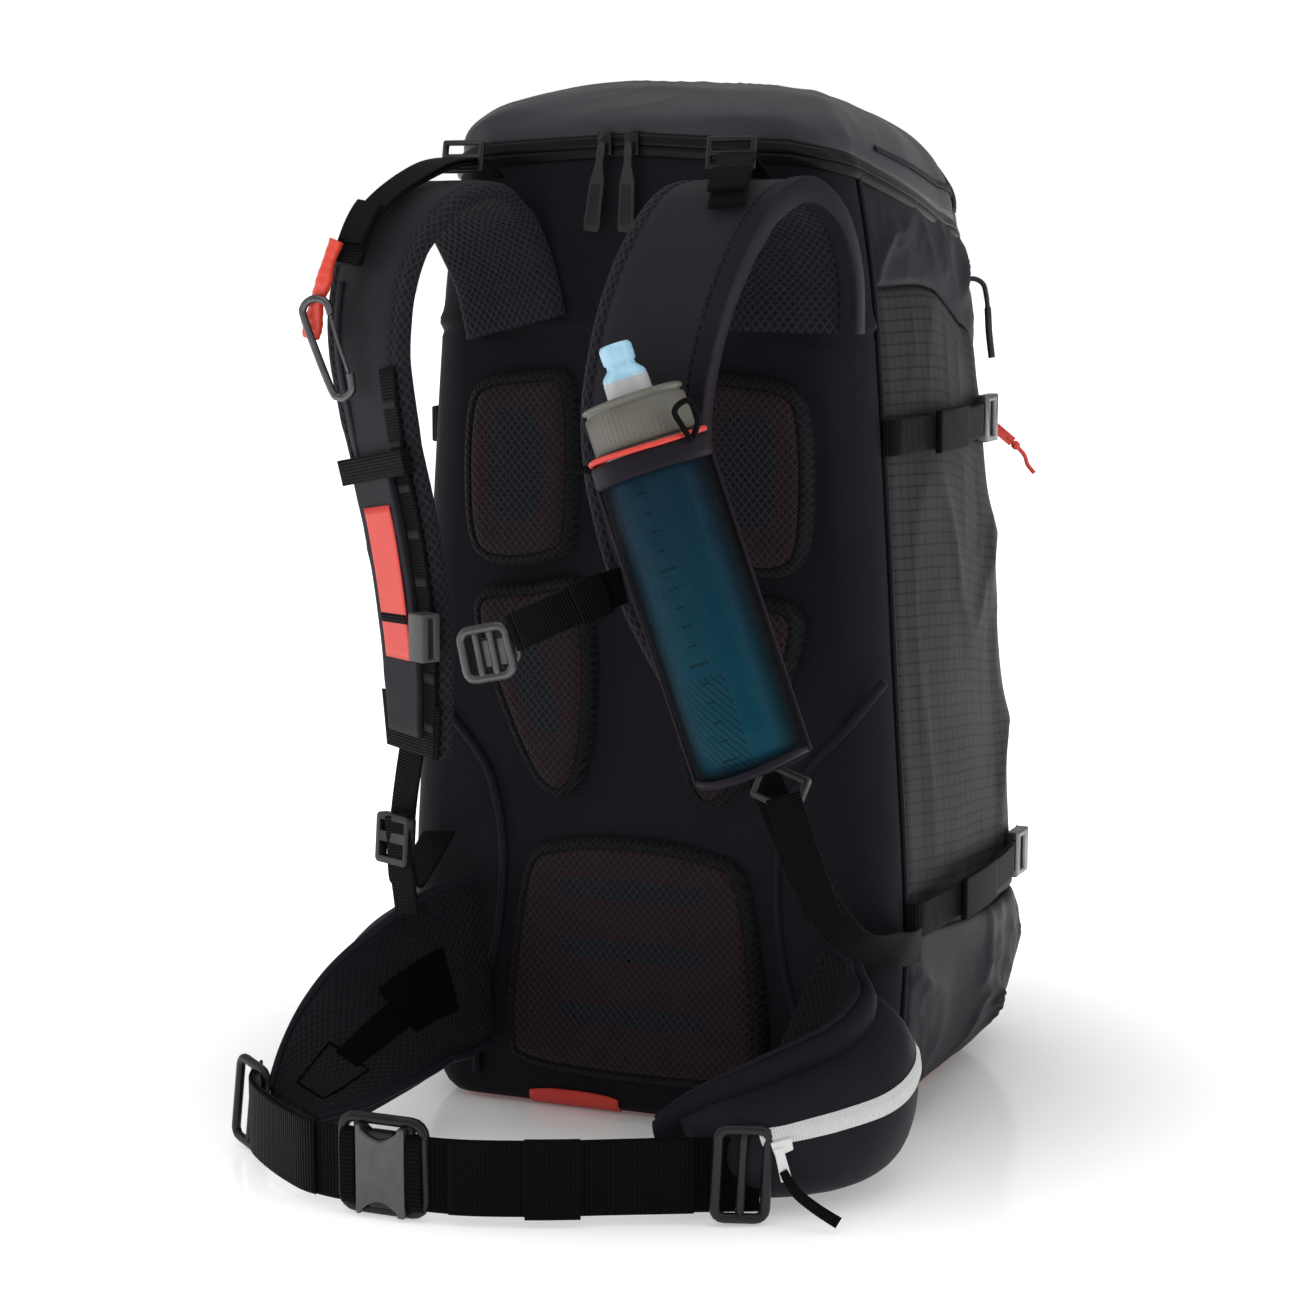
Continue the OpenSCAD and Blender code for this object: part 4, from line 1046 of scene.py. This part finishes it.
def turned(name, profile, finish, body, sides=96, flat=1.0, ripple=None, skip_ends=False):
    """A piece turned about the flask's axis from (radius, height) points."""
    rows, lay = [], []
    for r, h in profile:
        row = []
        for j in range(sides):
            a = math.tau * j / sides
            rr = r + (ripple(a, h) if ripple else 0)
            row.append(on_flask(rr, h, a, flat))
            lay.append((a * 30, h))
        rows.append(row)
    return cloth(name, rows, [finish], body, wrap=True, ends=not skip_ends, lay=lay)


film = Finish("flask_film", (0.012, 0.20, 0.31), 0.4, Specular_IOR_Level=0.2)
film_x, film_h = film.lay()
ticks = (film.wave(film_h, 1.0) > 0.975) * film.between(film_x, 14.0, 14.5)
ticks = film.maths("MAXIMUM", ticks, (film.wave(film_h, 0.2) > 0.998) * film.between(film_x, 13.7, 14.8))
slant = film.wave(film_x + film_h * 0.7, 2.6)
slant = (slant > 0.86) * film.between(film_h, 0.6, 5.6) * film.between(film_x, 12.7, 15.4)
marks = film.maths("MAXIMUM", ticks, slant)
clear = film.maths("SUBTRACT", film_h, 16.6, clamp=True)
film_base = film.mix(film.maths("DIVIDE", film_h, 17.0, clamp=True), (0.0, 0.150, 0.235),
                     (0.006, 0.055, 0.11))
film_base = film.mix(clear, film_base, (0.55, 0.56, 0.54))
film.paint(film.mix(marks * 0.6, film_base, (0.0005, 0.004, 0.006)), film.mottle(30) * 0.2 + 0.2,
           film.mottle(35, 3), 0.004, 0.8)
flask_profile = [(0.5, 3), (18, 3.4), (25, 6), (27.6, 12), (28, 30), (28, 140), (27.6, 155), (26, 166),
                 (23, 173), (21, 177), (20.8, 190), (0.5, 190)]
flask = turned("flask", flask_profile, film, "flask")
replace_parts(flask, "flask")

stretch_mesh = Finish("stretch_mesh", (0.007, 0.0075, 0.0095), 0.75, Specular_IOR_Level=0.06)
mesh_u, mesh_v = stretch_mesh.lay()
holes = stretch_mesh.wave(mesh_u + mesh_v * 0.5, 8) * stretch_mesh.wave(mesh_u - mesh_v * 0.5, 8)
# The mesh lets the flask show through only round its outer face and turns opaque and dark towards the sides:
# painted shade at the pocket's sides.
facing = stretch_mesh.maths("COSINE", mesh_u / 3.0 + math.radians(75))
clear_front_painted_side_shade = stretch_mesh.maths("MULTIPLY", facing * 1.7 - 0.35, 1.0, clamp=True)
rise = stretch_mesh.maths("DIVIDE", mesh_v + 0.1, 1.2, clamp=True)
veil = stretch_mesh.maths("SUBTRACT", 1.0, clear_front_painted_side_shade * rise * 0.58 * (holes * 0.5 + 0.75), clamp=True)
stretch_mesh.paint(stretch_mesh.mix(holes, (0.0045, 0.0045, 0.006), (0.0015, 0.002, 0.003)),
                   height=holes, depth=0.0005, alpha=veil)
pocket_profile = [(0.3, -0.5), (20, -0.2), (26.5, 1.5), (29.3, 6), (30.2, 14), (30.4, 60), (30.2, 110),
                  (29.8, 150), (29.6, 163)]
radii = [(i, r) for i, (r, h) in enumerate(pocket_profile)]
heights = [(i, h) for i, (r, h) in enumerate(pocket_profile)]
smoothed = [(along(radii, t), along(heights, t)) for t in steps(0, 8, 60)]


def sleeve_sag(a, h):
    """The pocket's cloth hangs a little slack between its seams."""
    return 0.5 * math.sin(3 * a + h / 30) - 0.6 * math.sin(math.pi * h / 163) * math.cos(2 * a)


pocket = turned("bottle_pocket", smoothed, stretch_mesh, "bag", ripple=sleeve_sag, skip_ends=True)
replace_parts(pocket, "bottle_pocket")
turned("pocket_hem", [(29.2, 161), (30.9, 161.6), (31.2, 165), (31.2, 170), (30.8, 172.6), (29.4, 173)],
       nylon, "bag", ripple=lambda a, h: 0.25 * math.sin(9 * a), skip_ends=True)
foot = [on_flask(29.4 - 1.2 * math.cos(2 * a), 4 + 1.5 * math.cos(a * 2), a)
        for a in (math.tau * i / 60 for i in range(60))]
tube("pocket_foot_binding", foot, 2.2, [nylon], closed=True)
for k, a in enumerate((0.15, math.pi + 0.35)):
    tube(f"pocket_seam_{k}", [on_flask(30.6, h, a) for h in steps(4, 168, 40)], 1.3, [nylon])
elastic = Finish("red_elastic", (0.55, 0.03, 0.02), 0.55)
elastic.paint(elastic.mix(elastic.mottle(900), (0.45, 0.022, 0.014), (0.75, 0.06, 0.04)),
              height=elastic.mottle(800), depth=0.0004)
bungee = [on_flask(30.2, 174.6 + 0.8 * math.sin(2 * a), a) for a in (math.tau * i / 90 for i in range(90))]
bungee = tube("pocket_bungee", bungee, 1.5, [elastic], closed=True)
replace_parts(bungee, "pocket_bungee")
tie = [(-1, 0, 0), (-6, -1, 1.5), (-13, -1.5, 1.8), (-18, -1.2, 1.2)]
at = Vector(on_flask(30.5, 171, math.pi))
tube("pocket_tab", [tuple(at + Vector(p)) for p in spline(tie, 6)], 2.0, [webbing], sides=8)
at = Vector(on_flask(35.5, 172, math.radians(-22)))
loop = spline([(-2, 0, -2), (1, -1, 8), (-3, -4, 17), (-9, -7, 12), (-5, -6, 4), (-2, -2, -3)], 10)
tube("pocket_loop", [tuple(at + Vector(p)) for p in loop], 1.6, [webbing], sides=8)

cap_plastic = moulded("cap_plastic", (0.085, 0.081, 0.066), (0.125, 0.119, 0.098), 0.42)


def cap_ribs(a, h):
    """Sixty grip ribs round the skirt of the cap."""
    return 0.45 * max(0, math.cos(60 * a)) if h < 197.5 else 0


cap = turned("flask_cap", [(21.4, 176.8), (25.4, 176.8), (26.2, 178), (26.2, 190), (26.0, 196.5),
                           (24.8, 197.8), (24.8, 199), (26.4, 199.6), (26.4, 201.2), (25, 202),
                           (22.5, 201.6), (21, 200.4), (14, 200.2), (10, 202), (8, 209.4),
                           (0.4, 209.4)], cap_plastic, "cap", 240, ripple=cap_ribs, skip_ends=True)
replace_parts(cap, "flask_cap")
silicone = Finish("valve_silicone", (0.30, 0.58, 0.76), 0.3, Coat_Weight=0.4, Subsurface_Weight=0.15)
silicone.paint(silicone.mix(silicone.mottle(120), (0.24, 0.50, 0.70), (0.42, 0.68, 0.82)),
               height=silicone.mottle(150), depth=0.0004)
valve = turned("bite_valve", [(8.4, 202.2), (11.3, 202.4), (11.5, 204), (11.5, 213), (10.8, 214.5),
                              (7.8, 217.5), (7.4, 219.6), (8.4, 220.4), (8.6, 223), (8.6, 228),
                              (7.6, 229.8), (5.6, 230), (4.4, 228.6), (4.2, 222),
                              (0.3, 221.6)], silicone, "valve", 64, skip_ends=True)
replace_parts(valve, "bite_valve")
frosted = moulded("frosted_stem", (0.4, 0.41, 0.41), (0.5, 0.51, 0.51), 0.35)
turned("valve_stem", [(8.2, 201.6), (11.9, 201.8), (11.9, 203.6), (11.7, 210.5), (11.6, 211)], frosted,
       "valve", 64, skip_ends=True)


# Hip belt wings: foam covered with dark spacer mesh inside and smooth fabric outside, with
# a rolled bound edge; a zipped pocket is sewn on the outside of each.
left_wing = [(-96, -121, 86, -.05, 0, 1, 50), (-103, -150, 84, -.15, 0, 1, 50),
             (-112, -182, 76, -.42, 0, 1, 44), (-124, -210, 58, -.8, .2, .8, 40),
             (-136, -233, 38, -1, .4, .45, 34), (-145, -252, 26, -1, .45, .35, 20)]
right_wing = [(104, -125, 78, .05, 0, 1, 50), (128, -135, 66, .12, 0, 1, 46),
              (146, -160, 58, .15, 0, 1, 44), (144, -196, 50, .15, 0, 1, 40),
              (120, -224, 42, .1, -.05, 1, 34), (92, -238, 34, 0, -.05, 1, 26),
              (70, -243, 27, 0, 0, 1, 17)]
wing_mesh = spacer_mesh("wing_mesh", (0.0085, 0.0074, 0.0130), (0.0008, 0.0007, 0.0010),
                        (0.0020, 0.0017, 0.0028),
                        (0.46, 0.56), 0.75)
wing_lines = {}


def wing_section(half):
    """Cross-section of a wing, flat on both faces and rounded at both edges."""
    face = [(a, 6.6) for a in steps(-half + 9, half - 9, 9)]
    side = [(half - 5, 6.2), (half - 2, 4.6), (half - .4, 2.2), (half, 0), (half - .4, -2.2),
            (half - 2, -4.6), (half - 5, -6.2)]
    back = [(a, -6.6) for a in steps(half - 9, -half + 9, 9)]
    return face + side + back + [(-a, -b) for a, b in side]


for side, path, inner_first in (("left", left_wing, False), ("right", right_wing, True)):
    line = wing_lines[side] = stations(path, 14)
    pick = (lambda i, j: int(j >= 10)) if inner_first else (lambda i, j: int(not 16 <= j < 26))
    made = strip("wing_" + side, line, wing_section, [wing_mesh, softshell], pick=pick,
                 sag=lambda p, i, a: creases(p, 40, 1.0))
    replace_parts(made, "wing_" + side)
    for edge in (-1, 1):
        sign = 1 if inner_first else -1
        welt = [tuple(c + w * (half - 1.2) * edge + n * 5.0 * sign) for c, w, n, half in line[1:-1]]
        tube(f"wing_welt_{side}_{'upper' if edge > 0 else 'lower'}", welt, 2.3, [nylon])
patch = Finish("loop_patch", (0.0012, 0.0012, 0.0013), 0.9, Specular_IOR_Level=0.05)
patch.paint(patch.mix(patch.mottle(500), (0.0008, 0.0008, 0.0009), (0.0022, 0.0022, 0.0024)),
            height=patch.mottle(1200), depth=0.001)
strip("wing_patch", wing_lines["left"][16:34], flat_section(-0.42, 0.34, -7.5, -6.6), [patch])
strip("wing_patch_tail", wing_lines["left"][33:50], flat_section(-0.30, 0.12, -7.5, -6.6), [patch])
corner = [(48, -0.45), (48, 0.3), (62, 0.3), (62, -0.45), (48, -0.45)]
box = []
for (i0, c0), (i1, c1) in zip(corner, corner[1:]):
    for t in steps(0, 1, 10)[:-1]:
        c, w, n, half = wing_lines["left"][round(i0 + (i1 - i0) * t)]
        box.append(tuple(c + w * half * (c0 + (c1 - c0) * t) - n * 6.7))
tube("wing_box_stitch", box, 0.8, [patch], closed=True, sides=8)


def pocket_shell(name, line, i0, i1, sign, depth, c0, c1, finish):
    """A zipped pocket that swells off a wing between stations i0 and i1."""
    rows = []
    for i in range(i0, i1 + 1):
        c, w, n, half = line[i]
        t = (i - i0) / (i1 - i0)
        swell = max(0, math.sin(math.pi * t)) ** 0.55
        row = []
        for u in steps(0, 1, 28):
            across = (c0 + (c1 - c0) * (0.5 - 0.5 * math.cos(math.pi * u))) * half
            out = 6.2 + depth * swell * max(0, math.sin(math.pi * u)) ** 0.62
            p = c + w * across
            row.append(tuple(p + n * sign * (out + creases(p, 34, 2.0) * swell * min(1, out / 12))))
        rows.append(row)
    made = cloth(name, rows, [finish])
    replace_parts(made, name)
    return rows


right_rows = pocket_shell("wing_pocket_right", wing_lines["right"], 10, 74, -1, 35, -1.0, 0.72, nylon)
left_rows = pocket_shell("wing_pocket_left", wing_lines["left"], 10, 60, 1, 34, -0.75, 0.93, nylon)

white_tape = Finish("white_zip", (0.72, 0.72, 0.71), 0.45)
zip_u, zip_v = white_tape.lay()
teeth = white_tape.wave(zip_v, 6)
white_tape.paint(white_tape.mix(teeth * 0.4 + white_tape.mottle(60) * 0.3, (0.62, 0.62, 0.61),
                                (0.82, 0.82, 0.81)), height=teeth, depth=0.0006)


def pocket_zip(rows, j0, j1, first, last):
    """Points and normals of the part of a wing pocket's grid that its white zip covers."""
    strip_rows = []
    for row, ahead in zip(rows[first:last], rows[first + 1:last + 1]):
        made = []
        for j in range(j0, j1 + 1):
            p, q, r = Vector(row[j]), Vector(row[j + 1]), Vector(ahead[j])
            normal = (q - p).cross(r - p).normalized()
            made.append((p, normal))
        strip_rows.append(made)
    return strip_rows


def lifted(rows, heights):
    """Points raised off rows of (point, normal) by a height for each column."""
    return [[tuple(p + n * h) for (p, n), h in zip(row, heights)] for row in rows]


for side, rows, columns, last, outward, rises in (
        ("right", right_rows, (17, 20), 50, -1, (0.4, 2.0, 2.0, 0.4)),
        ("left", left_rows, (20, 24), 42, 1, (0.4, 1.6, 2.6, 1.6, 0.4))):
    zipper = pocket_zip(rows, *columns, 6, last)
    if zipper[20][2][1].dot(wing_lines[side][30][2]) <= 0:
        outward = -outward
    cloth("wing_zip_" + side, lifted(zipper, [outward * h for h in rises]), [white_tape])
white_metal = moulded("white_slider", (0.66, 0.66, 0.65), (0.76, 0.76, 0.75))
slider = slab("wing_zip_slider", [(-5, -4), (5, -3), (6, 3), (-5, 4)], 7, (141, -254, 42), white_metal,
              "wing_pull", 20, 22)
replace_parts(slider, "wing_zip_pull")
slab("wing_pull_tag", [(-2.4, 2), (2.4, 2), (3, -16), (-3, -16)], 2, (141, -258, 40), white_metal,
     "wing_pull", 14, 22)
cord = stations([(143, -258, 30, .7, 0, .7, 2.4), (150, -258, 20, .7, 0, .7, 3),
                 (160, -256, 12, .7, 0, .7, 3.2), (172, -254, 5, .7, 0, .7, 3.4)], 8)
web("wing_pull_cord", cord, body="wing_pull")


# Hip belt: 40 mm ribbed webbing with a keeper, a side-release buckle with a grey face, a
# dark frame and two black buttons, and a tri-glide at each end.
belt_path = [(-172, -240, 29, 0, 0, 1, 20), (-158, -272, 27, 0, 0, 1, 20), (-118, -304, 25, 0, 0, 1, 20),
             (-86, -318, 25, 0, 0, 1, 20), (-24, -320, 25, 0, 0, 1, 20), (20, -306, 25, 0, 0, 1, 20),
             (60, -287, 25, 0, 0, 1, 20), (100, -266, 25, 0, 0, 1, 20), (128, -252, 25, 0, 0, 1, 20)]
belt_line = stations(belt_path, 14)
for name, part in (("belt_webbing", belt_line[0:48]), ("belt_webbing_long", belt_line[54:113])):
    made = web(name, part, finish=belt_web, sag=lambda p, i, a: 0.5 * math.sin(p.x / 17))
    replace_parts(made, "belt_webbing")
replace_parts(web("belt_keeper", belt_line[70:80], -1.06, 1.06, 1.2, 4.4, belt_web), "belt_webbing")
web("belt_fold", belt_line[58:98], -0.99, 0.99, 1.1, 2.9, belt_web,
    sag=lambda p, i, a: 0.4 * math.sin(p.x / 13))
web("belt_fold_left", belt_line[6:40], -0.99, 0.99, 1.1, 2.9, belt_web)
arc = [(x, 21.5 - 5.0 * math.cos(math.radians(90 * x / 10.5))) for x in steps(-10.5, 10.5, 10)]
face = [(-13.5, -24), (-10.5, -24)] + [(x, -z) for x, z in arc]
face += [(10.5, -24), (15, -24), (15, 24), (10.5, 24)]
face += [(x, z) for x, z in reversed(arc)] + [(-10.5, 24), (-13.5, 24)]
face = [p for i, p in enumerate(face) if p != face[i - 1]]
socket = slab("belt_socket", face, 11, (-54, -321, 25), buckle_grey, bevel=1.8)
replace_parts(socket, "belt_socket")
dark_frame = cast("buckle_frame", (0.014, 0.014, 0.015), (0.036, 0.036, 0.038), 0.34)
loop = ring("belt_tongue", 47, 48, 7, (-54, -319.5, 27), dark_frame, 3.0, bars=(-0.62, 0.68))
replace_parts(loop, "belt_tongue")
prong = [(-8.5, 12), (8.5, 12), (9.5, 17), (7, 20.4), (-7, 20.4), (-9.5, 17)]
for m, name in ((1, "upper"), (-1, "lower")):
    made = slab("belt_button_" + name, [(x, m * z) for x, z in prong][::m], 7.5, (-54, -320.5, 25),
                black_plastic, "button_" + name, bevel=1.4)
    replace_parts(made, "belt_button_" + name)
for k, x in enumerate((-72.5, -34.5)):
    wrap = stations([(x, -320, 45, 1, 0, 0, 4.6), (x, -324.4, 42, 1, 0, 0, 4.6),
                     (x, -324.9, 25, 1, 0, 0, 4.6), (x, -324.4, 8, 1, 0, 0, 4.6),
                     (x, -320, 5, 1, 0, 0, 4.6)], 6)
    web(f"belt_wrap_{k}", wrap, finish=belt_web)
for side, at, radius, yaw, lean, bar in (("left", (-172.5, -252, 27), 2.6, -28, -10, 0.1),
                                         ("right", (122, -262, 27), 2.8, 27, -3, 0.0)):
    glide = ring("belt_slider_" + side, 26, 47, 5, at, black_plastic, radius, yaw=yaw, lean=lean,
                 bars=(bar,))
    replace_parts(glide, "belt_sliders")


# Compression straps: 20 mm webbing across each ripstop flank, through a stitched keeper to a
# gunmetal hook buckle near the front corner.
gunmetal = cast("gunmetal", (0.10, 0.10, 0.105), (0.2, 0.2, 0.21), 0.3)
up = Vector((0, 0, 1))
for z, level in ((392, "upper"), (124, "lower")):
    for side, name in ((1, "right"), (-1, "left")):
        line = []
        for s in steps(1.93, 3.28, 66):
            out = 1 + 6.5 * min(1, (s - 1.93) / 0.1)
            here, ahead = [Vector(bag_point(side * at, z, out)) for at in (s, s + 0.01)]
            t = (ahead - here).normalized()
            line.append((here, up * side, t.cross(up * side), 10))
        made = web(f"compression_{level}_{name}", line)
        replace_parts(made, "compression_webbing")
        web(f"compression_keeper_{level}_{name}", line[20:37], -1.2, 1.2, 1.0, 4.6)
        web(f"compression_fold_{level}_{name}", line[37:51], -0.98, 0.98, 1.1, 2.8)
hard_copy("compression_buckles", gunmetal, 1.2)
